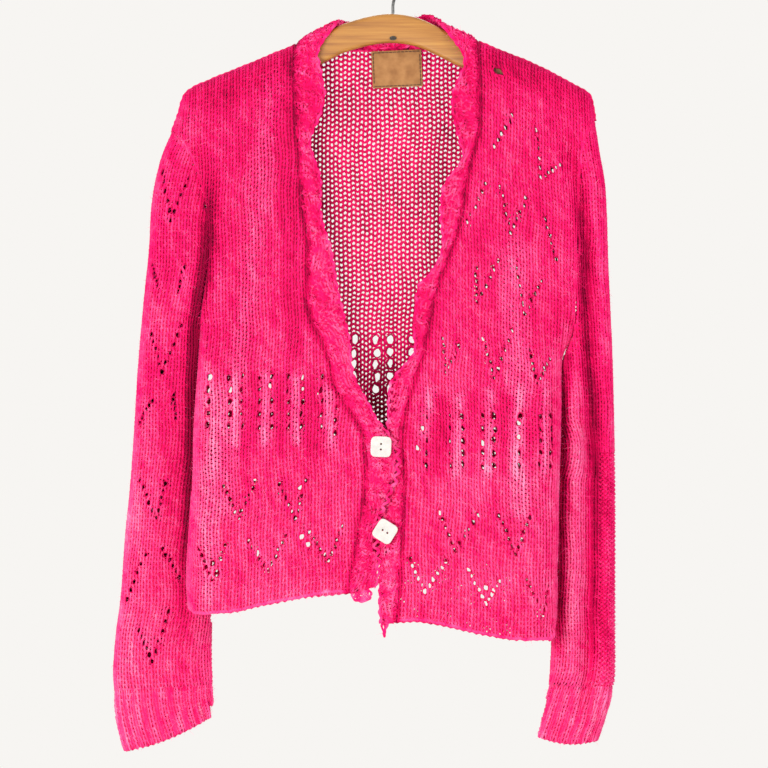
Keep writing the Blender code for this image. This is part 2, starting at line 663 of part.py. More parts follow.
def plate(name, outline, holes, thickness, material):
    """A flat plate from its outline in its own plane, facing -Y, with its back at y = 0."""
    places, faces = triangulated(np.array(outline), [np.array(h) for h in holes], [], [])
    outer = np.column_stack([places[:, 0], np.full(len(places), -thickness), places[:, 1]])
    normals = np.tile((0.0, -1.0, 0.0), (len(places), 1))
    return closed_mesh(name, outer, normals, faces, material, thickness)


def rounded_square(side, corner):
    """Outline of a square with round corners, about its middle."""
    points = []
    for cx, cz, start in ((1, 1, 0), (-1, 1, 90), (-1, -1, 180), (1, -1, 270)):
        for turn in (0, 30, 60, 90):
            angle = math.radians(start + turn)
            points.append((cx * (side / 2 - corner) + corner * math.cos(angle),
                           cz * (side / 2 - corner) + corner * math.sin(angle)))
    return points


def ring_of(x, z, width, height, count):
    """Points round an oval."""
    turns = [2 * math.pi * k / count for k in range(count)]
    return [(x + width / 2 * math.cos(turn), z + height / 2 * math.sin(turn)) for turn in turns]


def foremost(carriers, x, z, half, turn):
    """The foremost depth that the carriers reach under a turned square."""
    c, s = math.cos(math.radians(turn)), math.sin(math.radians(turn))
    depths = []
    for carrier in carriers:
        mesh = carrier.data
        tree = BVHTree.FromPolygons([v.co for v in mesh.vertices], [f.vertices for f in mesh.polygons])
        for u in np.linspace(-half, half, SEAT_SAMPLES):
            for v in np.linspace(-half, half, SEAT_SAMPLES):
                start = Vector((x + c * u + s * v, -100, z - s * u + c * v)) * MM
                hit = tree.ray_cast(start, Vector((0, 1, 0)))[0]
                if hit is not None:
                    depths.append(hit.y / MM)
    return min(depths)


def button(name, place, carriers, stacked, material):
    """A square button with two sewing holes, seated on the edging under it."""
    x, z, side, turn = place
    half = BUTTON_HOLES_APART / 2
    spots = ((0, half), (0, -half)) if stacked else ((half, 0), (-half, 0))
    holes = [ring_of(u, v, BUTTON_HOLE, BUTTON_HOLE, 6) for u, v in spots]
    thing = plate(name, rounded_square(side, BUTTON_CORNER), holes, BUTTON_THICKNESS, material)
    seat = foremost(carriers, x, z, side / 2, turn)
    thing.location = (x * MM, (seat - SEAT_GAP) * MM, z * MM)
    thing.rotation_euler = (0, math.radians(turn), 0)
    return thing


def main():
    for thing in list(bpy.data.objects):
        bpy.data.objects.remove(thing)
    knit = finish("brushed pink mohair knit", (0.93, 0.03, 0.18), 0.9)
    crochet = finish("pink crochet edging", (0.95, 0.05, 0.22), 0.9)
    wood = finish("varnished honey wood", (0.68, 0.38, 0.12), 0.4)
    steel = finish("zinc plated steel wire", (0.55, 0.55, 0.55), 0.35, 1.0)
    ivory = finish("ivory moulded resin", (0.9, 0.87, 0.8), 0.35)
    tape = finish("tan woven label tape", (0.7, 0.42, 0.16), 0.8)

    left_edge = ROWS_LEFT[:-1, :2]
    right_edge = ROWS_RIGHT[:-1, :2]
    shoulder_left = curve_through(SHOULDER_LEFT, EDGE_STEP)
    shoulder_right = curve_through(SHOULDER_RIGHT, EDGE_STEP)
    armhole_left = curve_through(ARMHOLE_LEFT, EDGE_STEP)
    armhole_right = curve_through(ARMHOLE_RIGHT, EDGE_STEP)
    side_left = curve_through(SIDE_LEFT, EDGE_STEP)
    side_right = curve_through(SIDE_RIGHT, EDGE_STEP)
    neck_back = ROWS_NECK[:, :2]

    gaps_left = [gap for row in LADDERS_LEFT for gap in ladder_gaps(*row)]
    gaps_left += [gap for row in CHEVRONS_LEFT for gap in chevron(*row)]
    loop = closed_loop(
        shoulder_left, armhole_left, side_left, curve_through(HEM_LEFT, EDGE_STEP), left_edge[::-1]
    )
    panel("front_left", loop, gaps_left, -1, "left", knit)

    gaps_right = [gap for row in LADDERS_RIGHT for gap in ladder_gaps(*row)]
    gaps_right += [gap for row in CHEVRONS_RIGHT for gap in chevron(*row)]
    gaps_right.append(worn_hole(*WORN_HOLE))
    loop = closed_loop(
        shoulder_right, armhole_right, side_right, curve_through(HEM_RIGHT, EDGE_STEP), right_edge[::-1]
    )
    panel("front_right", loop[::-1], gaps_right, -1, "right", knit)

    gaps_back = []
    for k in BACK_LADDER_PAIRS:
        for half in (-0.5, 0.5):
            x = BACK_LADDER_MIDDLE + k * BACK_LADDER_REPEAT + half * BACK_LADDER_PAIR
            if x > SIDE_LEFT[1][0] + LADDER_WIDTH:
                gaps_back += ladder_gaps(x, BACK_LADDER_TOP, BACK_LADDER_GAPS)
    loop = closed_loop(
        neck_back[::-1], shoulder_left, armhole_left, side_left,
        curve_through(HEM_BACK, EDGE_STEP), side_right[::-1], armhole_right[::-1], shoulder_right[::-1],
    )
    panel("back", loop, gaps_back, 1, None, knit)

    for half, side in (("front", -1), ("back", 1)):
        edges_left = (ARMHOLE_LEFT, OUTER_LEFT, INNER_LEFT)
        edges_right = (ARMHOLE_RIGHT, OUTER_RIGHT, INNER_RIGHT)
        sleeve_half("sleeve_left_" + half, SLEEVE_LEFT, side, *edges_left, -1, knit)
        sleeve_half("sleeve_right_" + half, SLEEVE_RIGHT, side, *edges_right, 1, knit)
    cuff("cuff_left", SLEEVE_LEFT, CUFF_OUTER_LEFT, CUFF_INNER_LEFT, knit)
    cuff("cuff_right", SLEEVE_RIGHT, CUFF_OUTER_RIGHT, CUFF_INNER_RIGHT, knit)

    band_left = band("band_left", ROWS_LEFT, -1, "left", crochet)
    band_right = band("band_right", ROWS_RIGHT, -1, "right", crochet)
    band("band_neck", ROWS_NECK, 1, None, crochet)

    swept_wood("hanger_wood", wood)
    hook("hanger_hook", steel)
    nail = plate("hanger_nail", ring_of(0, 0, *NAIL_SIZE, 12), [], NAIL_RISE, steel)
    nail.location = (NAIL_PLACE[0] * MM, (-HANGER_THICKNESS / 2 - SEAT_GAP) * MM, NAIL_PLACE[1] * MM)

    button("button_upper", BUTTON_UPPER, (band_left, band_right), True, ivory)
    button("button_lower", BUTTON_LOWER, (band_left, band_right), False, ivory)

    x, z, width, height, turn = LABEL
    w, h = width / 2, height / 2
    tag = plate("label", [(-w, -h), (w, -h), (w, h), (-w, h)], [], LABEL_THICKNESS, tape)
    back_face = float(BODY.outer(np.array([(x, z)]), 1)[0][0, 1]) - WALL
    tag.location = (x * MM, (back_face - SEAT_GAP) * MM, z * MM)
    tag.rotation_euler = (0, math.radians(-turn), 0)


main()
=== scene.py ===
"""Openwork cardigan on its hanger: yarn, edging, buttons, label, wood and wire.

The knitting is made as knitting: each course is one yarn that loops through the course below it, laid on
the form of the cloth. Tables are in millimetres, in the frame of the part: x to the viewer's right, z up.
"""

import math

import bpy
import numpy as np
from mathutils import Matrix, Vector


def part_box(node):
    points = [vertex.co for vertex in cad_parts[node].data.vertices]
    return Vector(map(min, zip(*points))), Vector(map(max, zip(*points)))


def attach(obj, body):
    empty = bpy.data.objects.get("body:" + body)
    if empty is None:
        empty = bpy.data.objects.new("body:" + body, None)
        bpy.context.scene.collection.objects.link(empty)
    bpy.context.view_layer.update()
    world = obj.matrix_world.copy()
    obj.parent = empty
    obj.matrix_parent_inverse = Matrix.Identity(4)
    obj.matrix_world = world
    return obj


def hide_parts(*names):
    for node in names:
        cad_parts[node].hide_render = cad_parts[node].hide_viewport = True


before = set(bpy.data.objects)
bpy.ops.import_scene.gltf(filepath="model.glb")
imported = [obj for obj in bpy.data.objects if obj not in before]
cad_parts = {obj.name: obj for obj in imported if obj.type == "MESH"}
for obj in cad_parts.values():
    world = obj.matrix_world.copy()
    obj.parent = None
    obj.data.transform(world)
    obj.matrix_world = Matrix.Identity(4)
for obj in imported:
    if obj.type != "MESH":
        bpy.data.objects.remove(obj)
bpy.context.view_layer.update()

MM = 0.001
NOISE_SEED = 7
FAR, TINY = 1e9, 1e-6

# Cloth sizes, as in the solids
SEAM_GAP = 0.35
FOLD_RADIUS_SHOULDER = 16.0
FOLD_RADIUS_SIDE = 30.0
BAND_STEP = 14.0
FOLD_NUDGE = 0.04
LEAST_FOLD_SHARE = 0.0005
FOLD_SPREAD = 1.6
FOLD_END = 0.25
FOLD_END_START = 0.4
FOLD_NUDGE_DOWN = -0.5
LINE_STEP = 6.0
CURVE_PARTS = 12
SHOULDER_Z = -180.0
UNDERARM_Z = -377.0
SPREAD_Z = -520.0
BODY_FORWARD = 8.0
SLEEVE_BACK = 26.0

# Half depth of the body and of each sleeve: rows of z, depth
BODY_DEPTH = ((-810, 21), (-500, 22), (-377, 19), (-180, 16), (-60, 15))
SLEEVE_DEPTH_LEFT = ((-810, 13), (-700, 15), (-480, 16), (-377, 19), (-180, 16), (-60, 15))
SLEEVE_DEPTH_RIGHT = ((-810, 17), (-700, 20), (-480, 21), (-377, 19), (-180, 16), (-60, 15))

# Which way the folds of the body and of each sleeve lie from its middle: z, then the x of the middle there
BODY_MIDDLE = ((-810, -60), (0, 0))
SLEEVE_MIDDLE_LEFT = ((-810, -377, -180), (-230, -220, -210))
SLEEVE_MIDDLE_RIGHT = ((-810, -377, -180), (180, 198, 197))

# Edges of the garment as seen from the front: rows of x, z
SHOULDER_LEFT = (
    (-97, -93), (-143, -112), (-175, -125), (-202, -137), (-209, -146), (-213, -160), (-220, -179),
)
SHOULDER_RIGHT = ((85, -90), (142, -113), (175, -130), (194, -141), (198, -150), (201, -167))
NECK_FOLD_LEFT = ((-57, -68.5), (-97, -93))
NECK_FOLD_RIGHT = ((49, -70.5), (85, -90))
ARMHOLE_LEFT = (
    (-220, -179), (-203, -202), (-190, -240), (-184, -275), (-184, -305), (-189, -345), (-193, -377),
)
ARMHOLE_RIGHT = ((201, -167), (190, -195), (186, -235), (184, -290), (183, -340), (181.5, -377))
SIDE_LEFT = (
    (-193, -377), (-195, -414), (-199, -471), (-201, -529), (-206, -605), (-207, -634), (-205, -657),
)
SIDE_RIGHT = (
    (181.5, -377), (178, -388), (171, -401), (168.5, -416), (168, -470), (166, -540), (164, -659),
    (162, -677),
)
OUTER_LEFT = (
    (-220, -179), (-232, -208), (-241, -250), (-244, -298), (-249, -347), (-255, -414),
    (-259, -471), (-264, -538), (-269, -586), (-273, -644), (-278, -682), (-281, -720), (-280, -740),
)
OUTER_RIGHT = (
    (201, -167), (207, -204), (212, -234), (214, -271), (215, -308), (218, -373),
    (220, -419), (222, -484), (223, -539), (223, -659), (223, -723), (220.5, -738),
)
INNER_LEFT = (
    (-193, -377), (-195, -410), (-195, -440), (-191, -480), (-185, -530), (-182, -600), (-182, -693),
    (-181, -735),
)
INNER_RIGHT = (
    (181.5, -377), (176.5, -392), (170.5, -408), (167.5, -430), (165, -465), (162, -500), (160, -560),
    (159, -650), (159, -700), (157, -734),
)
CUFF_OUTER_LEFT = ((-280, -740), (-279, -760), (-276, -780), (-270, -801))
CUFF_OUTER_RIGHT = ((220.5, -738), (217, -755), (212, -774), (206, -790))
CUFF_INNER_LEFT = ((-181, -735), (-180, -745), (-181, -756), (-182, -766))
CUFF_INNER_RIGHT = ((157, -734), (153, -750), (149, -768), (145, -786))
CUFF_HEM_SAG = 5.0
# The lowest courses of a sleeve tilt to meet its cuff over this height
TILT_REACH = 60.0
# Courses end just inside the folds of the cloth: share of a tube's width, distance on a panel
INSIDE_FOLD, EDGE_INSET = 0.004, 0.4
HEM_LEFT = ((-205, -657), (-195, -662), (-159, -660), (-129, -653), (-86, -645), (-63, -641), (-46, -641))
HEM_RIGHT = ((162, -677), (156, -687), (123, -688), (87, -682), (49, -673), (25, -669), (4, -670))
HEM_BACK = (
    (-205, -657), (-165, -645), (-123, -634), (-60, -618), (0, -611), (60, -611), (107, -614), (135, -640),
    (162, -677),
)

# Crochet edging, a row for each section: outer x, outer z, free edge x, free edge z
BAND_LEFT = (
    (-97, -93, -57, -68.5), (-98, -97, -64, -79), (-99, -101, -71, -90), (-100, -106, -76, -102),
    (-100, -125, -72, -123), (-99, -145, -69, -146), (-98, -166, -75, -168), (-96, -188, -83, -187),
    (-95, -204, -81, -203), (-94, -224, -73, -227), (-91, -258, -73, -259), (-87, -280, -68, -281),
    (-86, -301, -62, -300), (-87, -337, -56, -337), (-85, -362, -50, -362), (-73, -387, -44, -389),
    (-63, -414, -42, -414), (-60, -434, -37, -431), (-46, -456, -25, -452), (-37, -470, -16, -469),
    (-30, -485, -4, -484), (-27, -507, 4, -506), (-27, -524, 2, -524), (-28, -541, -4, -541),
    (-31, -557, -12, -557), (-34, -575, -18, -573), (-37, -594, -20, -590), (-40, -612, -17, -606),
    (-43, -628, -15, -622), (-46, -641, -18, -636), (-44, -648, -24, -651),
)
BAND_RIGHT = (
    (85, -90, 49, -70.5), (85.5, -96, 56, -80), (86, -102, 63, -90), (86.5, -114, 72, -111),
    (87.5, -138, 61, -140), (88, -160, 60, -160), (85, -186, 67, -190), (79, -207, 71, -206),
    (76, -222, 62, -220), (73, -236, 51, -235), (69, -262, 48, -262), (64, -285, 50, -287),
    (57, -302, 48, -304), (51, -318, 38, -322), (45, -334, 26, -335), (40, -354, 23, -354),
    (35, -379, 21, -379), (31, -399, 22, -400), (26, -416, 12, -414), (21, -432, -1, -430),
    (16, -449, -4, -448), (10, -476, -5, -477), (10, -499, -9, -499), (11, -529, -11, -529),
    (11, -549, -10, -549), (10, -569, -9, -569), (9, -592, -12, -594), (8, -612, -12, -612),
    (7, -634, -13, -634), (5, -655, -13, -655), (4, -670, -12, -672), (-2, -677, -9, -686),
)
BAND_NECK = (
    (-97, -93, -57, -68.5), (-91, -94.5, -54, -68.5), (-84, -95.6, -50, -69), (-66, -97.2, -42, -70.5),
    (-45, -98.2, -30, -72.5), (-20, -98.8, -12, -73), (5, -98.9, 8, -71), (28, -98.6, 22, -65.5),
    (48, -97.8, 32, -63), (64, -96, 41, -65.5), (76, -93.4, 46, -68.5), (81, -91.8, 47.5, -69.5),
    (85, -90, 49, -70.5),
)
# Across a band: share of the way to the free edge, height over the cloth's outer face
BAND_SECTION = (
    (0, -1.0), (0.22, 1.4), (0.6, 0.7), (0.92, -0.6), (1, -2.0), (0.9, -3.4), (0.5, -3.6), (0.1, -3.0),
)
# The section is smoothed with its heights scaled to this share, at this step
BAND_SECTION_SCALE, BAND_SECTION_STEP = 0.1, 0.03

# The left edging laps over the right one at the buttons: rows of z, forward lift
LAP_LIFT = ((-700, 2), (-585, 2), (-552, 8), (-490, 8), (-445, 0), (-60, 0))
LAP_SINK = ((-700, 1), (-560, 3), (-480, 3), (-430, 0), (-60, 0))
LAP_REACH = 70.0

# Largest folds: x and z of both ends, half width, depth (into the garment where positive)
FRONT_FOLDS = (
    (-197, -195, -188, -395, 17, 7), (176, -190, 196, -300, 12, 8), (195, -290, 200, -520, 13, 15),
    (200, -480, 196, -760, 13, 13), (-140, -500, -128, -665, 22, -3), (40, -400, 46, -560, 18, 4),
    (-232, -330, -240, -640, 20, -3),
)
BACK_FOLDS = (
    (-192, -200, -188, -395, 17, 6), (186, -200, 190, -390, 15, 7), (192, -420, 190, -720, 14, 9),
    (-60, -300, -70, -620, 34, 4), (70, -320, 84, -630, 30, 4), (-232, -420, -236, -700, 18, 5),
)

# Ladders of dropped stitches: x of each column, z of its top, number of gaps, width and height of a gap
LADDER_PITCH, FIRST_GAP_DROP = 12.4, 4.7
LADDERS_LEFT = (
    (-185, -421, 5, 5.2, 7.6), (-163, -421, 5, 4.0, 7.0), (-151, -421, 5, 2.2, 4.6),
    (-133, -421, 5, 2.6, 5.0), (-121, -421, 5, 3.6, 6.2), (-104, -421, 5, 2.6, 5.0),
    (-91, -421, 5, 2.8, 5.4), (-71, -421, 5, 2.6, 5.6), (-57, -452, 3, 2.4, 4.6),
)
LADDERS_RIGHT = (
    (34, -460, 5, 2.6, 5.4), (56, -460, 5, 2.0, 4.4), (69, -460, 5, 4.4, 7.4), (89, -460, 5, 3.2, 5.8),
    (101, -460, 5, 4.4, 7.0), (126, -460, 5, 3.8, 6.8), (147, -460, 5, 2.6, 5.6), (158, -460, 5, 4.0, 6.4),
)
# Pairs of ladders across the back: their top, gaps, size of a gap, middle, repeat and how far apart a pair is
BACK_LADDER_TOP, BACK_LADDER_GAPS, BACK_LADDER_GAP = -384, 5, (6.2, 9.4)
BACK_LADDER_MIDDLE, BACK_LADDER_REPEAT, BACK_LADDER_PAIR = -10.0, 36.0, 13.0
BACK_LADDER_PAIRS, SIDE_MARGIN = range(-5, 5), 8
# Gaps differ in place by these spreads, in width and in height between these shares
GAP_SPREAD, GAP_WIDTHS, GAP_HEIGHTS = (0.5, 0.6), (0.75, 1.15), (0.8, 1.1)
# Ridges that the dropped stitches raise between them: x and z of both ends, half width, height
RIDGES = (
    (-157, -424, -158, -492, 4.5, 2.6), (-127, -424, -127.5, -490, 4.5, 2.8), (-97, -428, -96, -488, 5, 2.8),
    (-64, -440, -62, -492, 5, 2.6), (-176, -440, -178, -520, 9, 2.0), (38, -440, 30, -486, 5, 2.4),
    (67, -446, 63, -522, 4, 2.8), (97, -440, 95, -520, 4, 2.8), (127, -440, 122, -524, 4, 2.6),
    (153, -440, 152, -520, 4, 2.2), (-186, -520, -184, -640, 9, 1.0), (-120, -128, -170, -560, 10, 1.2),
    (120, -300, 128, -560, 12, 1.6),
)
# Painted shade where the surface lies deeper and painted light where it catches more light: x and z of both
# ends, half width, change of tone
BODY_LIGHT_AND_SHADE_LINES = (
    (-186, -420, -184, -650, 11, 0.11), (-150, -644, -60, -640, 14, 0.12), (60, -500, 150, -560, 36, 0.06),
    (-180, -150, -110, -116, 15, -0.20), (100, -108, 190, -148, 15, -0.22),
    (-143, -430, -143, -500, 8, -0.16),
    (-111, -430, -111, -500, 8, -0.16), (-80, -430, -80, -500, 8, -0.16), (48, -450, 46, -520, 9, -0.18),
    (79, -450, 79, -520, 5, -0.16), (112, -450, 110, -520, 8, -0.18), (140, -450, 138, -520, 6, -0.14),
    (-108, -150, -98, -400, 9, -0.16), (-20, -560, -24, -640, 9, -0.10),
)
SLEEVE_LIGHT_AND_SHADE_LINES = (
    (184, -440, 176, -720, 9, 0.16), (-262, -500, -270, -780, 20, 0.12), (210, -420, 213, -700, 8, -0.12),
    (-220, -420, -226, -560, 9, -0.10),
)
# Painted shade along the creases at the armholes and beside the body's edge on the right sleeve: rows of x,
# z, half width, change of tone
CREASE_SHADE_RIGHT = (
    (176, -190, 8, 0), (183, -222, 8, -0.18), (188, -256, 8, -0.34), (191, -300, 7.5, -0.46),
    (192, -364, 7, -0.52), (196, -414, 7, -0.52), (201, -464, 6.5, -0.50), (203, -520, 6, -0.46),
    (202, -620, 6, -0.42), (200, -690, 6, -0.34), (199, -742, 6, 0),
)
BODY_CREASE_SHADES = (
    ((-194, -186, 9, 0), (-187, -218, 9, -0.20), (-183, -252, 8.5, -0.42), (-184, -289, 7.5, -0.66),
     (-189, -325, 7, -0.74), (-196, -358, 6.5, -0.66), (-202, -392, 6, -0.30), (-204, -420, 6, 0)),
    CREASE_SHADE_RIGHT[:5] + ((192, -400, 7, 0),),
)
SLEEVE_CREASE_SHADES = (
    ((-196, -190, 8, 0), (-189, -218, 8, -0.20), (-184, -252, 8, -0.42), (-185, -289, 7.5, -0.66),
     (-190, -325, 7, -0.76), (-196, -358, 7, -0.80), (-199, -392, 7, -0.80), (-201, -440, 7, -0.78),
     (-203, -520, 7, -0.74), (-205, -580, 7.5, -0.62), (-208, -640, 8, -0.40), (-209, -700, 8, 0)),
    CREASE_SHADE_RIGHT,
    ((177, -388, 5, 0), (172, -420, 5, -0.50), (168, -650, 5, -0.50), (165, -710, 5, 0)),
)
# All the painted light and shade of the body and of the sleeves, along straight lines and along the creases
BODY_PAINTED_SHADING, SLEEVE_PAINTED_SHADING = (BODY_LIGHT_AND_SHADE_LINES, BODY_CREASE_SHADES), (SLEEVE_LIGHT_AND_SHADE_LINES, SLEEVE_CREASE_SHADES)
# Painted shade on the back: deepest at the point of the neck, where the fronts shade it, and in two soft
# bands high up
BACK_SHADE_LINES = (
    (-4, -425, -6, -480, 14, -0.60), (-74, -180, -78, -330, 10, -0.16), (50, -180, 44, -320, 8, -0.16),
)
# Painted shade along the seam of an edging, where it lies in a soft groove: half width, change of tone
SEAM_PAINTED_SHADE = (3.0, -0.42)
# Tone of the plain cloth, and how far it shifts in broad, middle and fine patches
PLAIN_TONE, BROAD_TONE, PATCHY_TONE, FLECKED_TONE = 0.5, 0.05, 0.06, 0.06
# Painted light: the cloth is painted lighter low down and darker high up, as the light falls on it: by how
# much, the height where it is plain, over what height it changes
LOW_PAINTED_LIGHT, LOW_TONE_Z, LOW_TONE_REACH = 0.08, -430, 350
# Cloth whose normal has less +Y than this faces front
FACES_FRONT = 0.3

# Chevrons of eyelets: tip x, tip z, left arm x, left arm z, right arm x, right arm z
EYELET_WIDTH, EYELET_HEIGHT, EYELETS_PER_ARM = 3.1, 4.3, 5
EYELET_SIZES = (0.75, 1.15)
CHEVRONS_LEFT = (
    (-154, -567, -169, -535, -137, -529), (-97, -567, -113, -533, -86, -529),
    (-181, -628, -194, -598, -168, -594), (-124, -619, -145, -590, -107, -584),
    (-64, -609, -83, -581, -51, -575),
)
CHEVRONS_RIGHT = (
    (62, -599, 46, -560, 85, -564), (123, -603, 106, -564, 136, -566),
    (32, -640, 17, -608, 52, -610), (93, -652, 75, -618, 107, -630),
    (151, -664, 134, -628, 156, -634),
)
# The finer ones, too small to be cut in the solids
SMALL_EYELET_WIDTH, SMALL_EYELET_HEIGHT, SMALL_EYELETS_PER_ARM = 2.8, 4.2, 5
OPEN_CHEVRONS_RIGHT = ((148, -226.5, 143, -178.5, 168, -214), (120, -164, 101, -195, 120, -164))
FINE_CHEVRONS_RIGHT = (
    (118, -282, 107, -236, 133, -247), (91, -232, 75, -271, 91, -232),
    (153, -269, 162, -308, 153, -269), (84.6, -351, 83, -317, 105, -310),
    (132, -362, 123.5, -317, 148, -330), (53, -421, 49.5, -388, 66, -395),
    (101, -426.6, 91, -388, 120, -380), (145, -432, 136, -399, 157, -408),
)
FINE_CHEVRONS_SLEEVE = (
    (-222, -269, -232, -221, -205, -227), (-231, -421, -242, -383, -211, -375),
    (-237.5, -567, -255, -529, -228, -533), (-241, -711, -255, -680, -225, -661),
    (-241.3, -314, -236, -334, -241.3, -314), (-209, -316, -214, -340, -209, -316),
    (-242, -450, -255, -471, -242, -450), (-220, -444, -217, -467, -220, -444),
    (-249, -604, -268, -649, -249, -604), (-230, -598, -215, -627, -230, -598),
)
# Worn hole: middle x, middle z, width, height
WORN_HOLE = (105, -121, 11, 6)
# Eyelets that have slipped wide open: x, z, width, height
WIDE_EYELETS_LEFT = (
    (-91, -586, 4.6, 6.6), (-84.5, -593, 4.6, 7.0), (-135.5, -602, 4.4, 6.0), (-93, -536, 3.6, 4.4),
    (-180, -612, 5.0, 6.0), (-176, -622, 5.0, 7.0), (-123, -434, 3.6, 6.6),
)
WIDE_EYELETS_RIGHT = (
    (29, -477, 3.0, 4.6), (25, -497, 3.2, 5.2), (126, -472, 4.2, 6.6), (126, -486, 3.4, 4.6),
    (46, -561, 3.6, 5.0), (89, -492, 2.8, 5.4), (32, -640, 3.8, 5.0), (93, -636, 4.0, 5.6),
)
# Other holes keep this far from a wide eyelet: an eyelet, a ladder gap
WIDE_CLEAR, WIDE_CLEAR_LADDER = 5, 6
# Half width and half height of the hole in the back behind a wide eyelet, below and beside these places
BEHIND_WIDE, BEHIND_WIDE_Z, BEHIND_WIDE_X = (3.2, 4.2), -450, -170
BEHIND_OPEN_CHEVRON = (3.0, 4.4)

# Loops along the free edges: rows of depth below the hook, reach
LOOP_REACH = ((60, 1.2), (470, 1.2), (500, 3.0), (545, 4.0), (600, 4.0), (630, 1.4), (700, 1.2))
# Their spacing, radius of the yarn, how uneven they are, and how far in from the edge they start
LOOP_PITCH, LOOP_YARN, LOOP_UNEVEN, LOOP_INSET = 10.5, 1.7, 0.25, 1.0
# The yarn swells and thins along its length: by what share, how often
LOOP_RIPPLE, LOOP_RIPPLE_PITCH = 0.12, 4.3
# A loop swings this share of its reach round this middle
LOOP_SWING = (0.7, 0.6)
EDGING_SINK, EDGING_STEP = 2.0, 1.3
EDGING_TONE, EDGING_FLECK = 0.02, 0.1
# The round lobe at the foot of the left edging: x, z, half width, half height, turns
LOBE = (-32, -643.5, 11.0, 7.5, 3.3)
LOBE_POINTS, LOBE_YARN, LOBE_CORE = 130, 1.45, 0.12
# By what share its turns and its yarn swell, and how often in a turn
LOBE_WAVER, LOBE_RIPPLE = (0.05, 7.3), (0.16, 11)
# The drawn tip of the right edging: x of each yarn's start, its radius, z of the top, x and z of the end
TIP_STARTS, TIP_YARN = (-12.0, -8.5, -5.0, -2.0), (1.7, 1.9, 1.9, 1.6)
TIP_TOP, TIP_END = -664.0, (-8.8, -686.0)
# Each yarn of it wavers, ripples and thins to its end, and every other one is shorter
TIP_POINTS, TIP_WAVER, TIP_RIPPLE, TIP_TAPER, TIP_SHORTER = 14, (0.9, 9), (0.15, 30), 0.45, 3

# Knitting: width of a stitch, height of a course, radius of the yarn
FRONT_STITCH, FRONT_COURSE, FRONT_YARN = 6.8, 4.4, 1.68
BACK_STITCH, BACK_COURSE, BACK_YARN, NET_YARN = 8.4, 5.0, 1.6, 1.42
SLEEVE_STITCH, SLEEVE_COURSE, SLEEVE_YARN = 6.7, 4.4, 1.68
CUFF_STITCH, CUFF_COURSE, CUFF_YARN = 5.75, 4.2, 1.5
BAND_STITCH, BAND_COURSE, BAND_YARN = 6.6, 5.4, 1.75
# Ribs of the cuffs: spacing, rise; height of each cuff
CUFF_RIB, CUFF_RISE = 11.5, 1.5
CUFF_DROP_LEFT, CUFF_DROP_RIGHT = 46, 52
# They drift aside, rise unevenly, fade into the sleeve over some courses, are squared off and sunk a little
RIB_DRIFT, RIB_DRIFT_SIZE = 2.6, 55.0
RIB_EVEN, RIB_UNEVEN, RIB_UNEVEN_SIZE = 0.8, 0.35, 30.0
RIB_FADE, RIB_SQUARE, RIB_SINK = 3, 1.3, 0.4
# The edging puckers in lumps and broader swells: rise and size of each, how far it is sunk
LUMPS, SWELL, PUCKER_SINK = (0.8, 15.0), (0.9, 34.0), 0.5
# This share of its stitches is crossed
CROSSED = 0.5
# How far whole stitches stray from their rows, and over what distance it changes
WANDER = ((1.1, 97.0), (0.6, 41.0))
# How far each point of the yarn strays, in millimetres across and in courses along
STRAY_ACROSS, STRAY_ALONG = 0.2, 0.045
# Radii of the yarn differ between these shares and its tone by this spread. It is painted lighter where it
# stands out and darker where it lies deep, as light and shade.
YARN_SHARES, YARN_FLECK, YARN_HEIGHT_PAINTED_LIGHT = (0.9, 1.1), 0.05, 0.13
YARN_SINK = 1.5
# The matted fibres lie this far behind the middle of the yarn
FELT_DEPTH = 0.45
# Painted light: how much lighter each millimetre that stands out is painted
LIFT_PAINTED_LIGHT = 0.09
YARN_DEPTH = 0.9
YARN_SIDES, CORD_SIDES, SEAM_SIDES = 3, 6, 8
# A cloth is read off a grid this fine, made from places this far apart, and reaches this far past its courses
GRID_STEP, PLACE_STEP, LINE_FINE, COURSE_PAST = 1.6, 0.5, 2.0, 0.15
TUBE_PLACES = 44
# Panel stitches go on past the end of a course by up to this share of their width
PANEL_PAST = 0.3
# The seam along each shoulder: how far it lies below the fold, radius, distance between its points
SEAM_DROP, SEAM_YARN, SEAM_STEP = 2.2, 3.0, 1.3
SEAM_WAVER, SEAM_RIPPLE = (0.8, 0.3), 0.1
# A cast-on or bound-off edge: radius, distance between its points, how far it strays, ripple, change of tone
EDGE_YARN, EDGE_CORD_STEP, EDGE_WAVER, EDGE_RIPPLE, EDGE_TONE = 1.9, 1.5, 0.5, (0.08, 5.2), 0.08
# The yarn of one stitch: share of its width, height in courses, depth. The net's loops are loose and open
STITCH = (
    (-0.5, -0.9, -1.0), (-0.15, -0.6, 0.45), (-0.35, 0.5, 0.75), (0.0, 0.9, -1.0), (0.35, 0.5, 0.75),
    (0.15, -0.6, 0.45),
)
NET_STITCH = (
    (-0.5, -0.75, -1.0), (-0.2, -0.3, 0.3), (-0.3, 0.3, 0.3), (0.0, 0.75, -1.0), (0.3, 0.3, 0.3),
    (0.2, -0.3, 0.3),
)
# The yarn round an eyelet: radius, how far it lies outside the hole, points, rise, and the change of tone
# that paints shade round the hole
RING_YARN, RING_OUT, RING_POINTS, RING_RISE, RING_PAINTED_SHADE = 0.8, 0.9, 10, 0.3, -0.24
RING_SHARES = (0.9, 1.12)
# How far the yarn is pushed clear of an eyelet, beside and above it, and up to how many times its size away
HOLE_CLEAR, PUSH_REACH = 1.15, 5
# Yarn that would still cross a hole is cut: the hole is taken larger by this, and to this share of it
CUT_ROUND, CUT_SHARE = 0.6, 0.9

# Where the back shows through the neck, as an open net
NET_EDGE_MARGIN, NECK_POINT_Z = 10.0, -470.0
# Outside the neck the net's yarn thickens: from where, over what distance
THICKEN_START, THICKEN_REACH = 8, 30
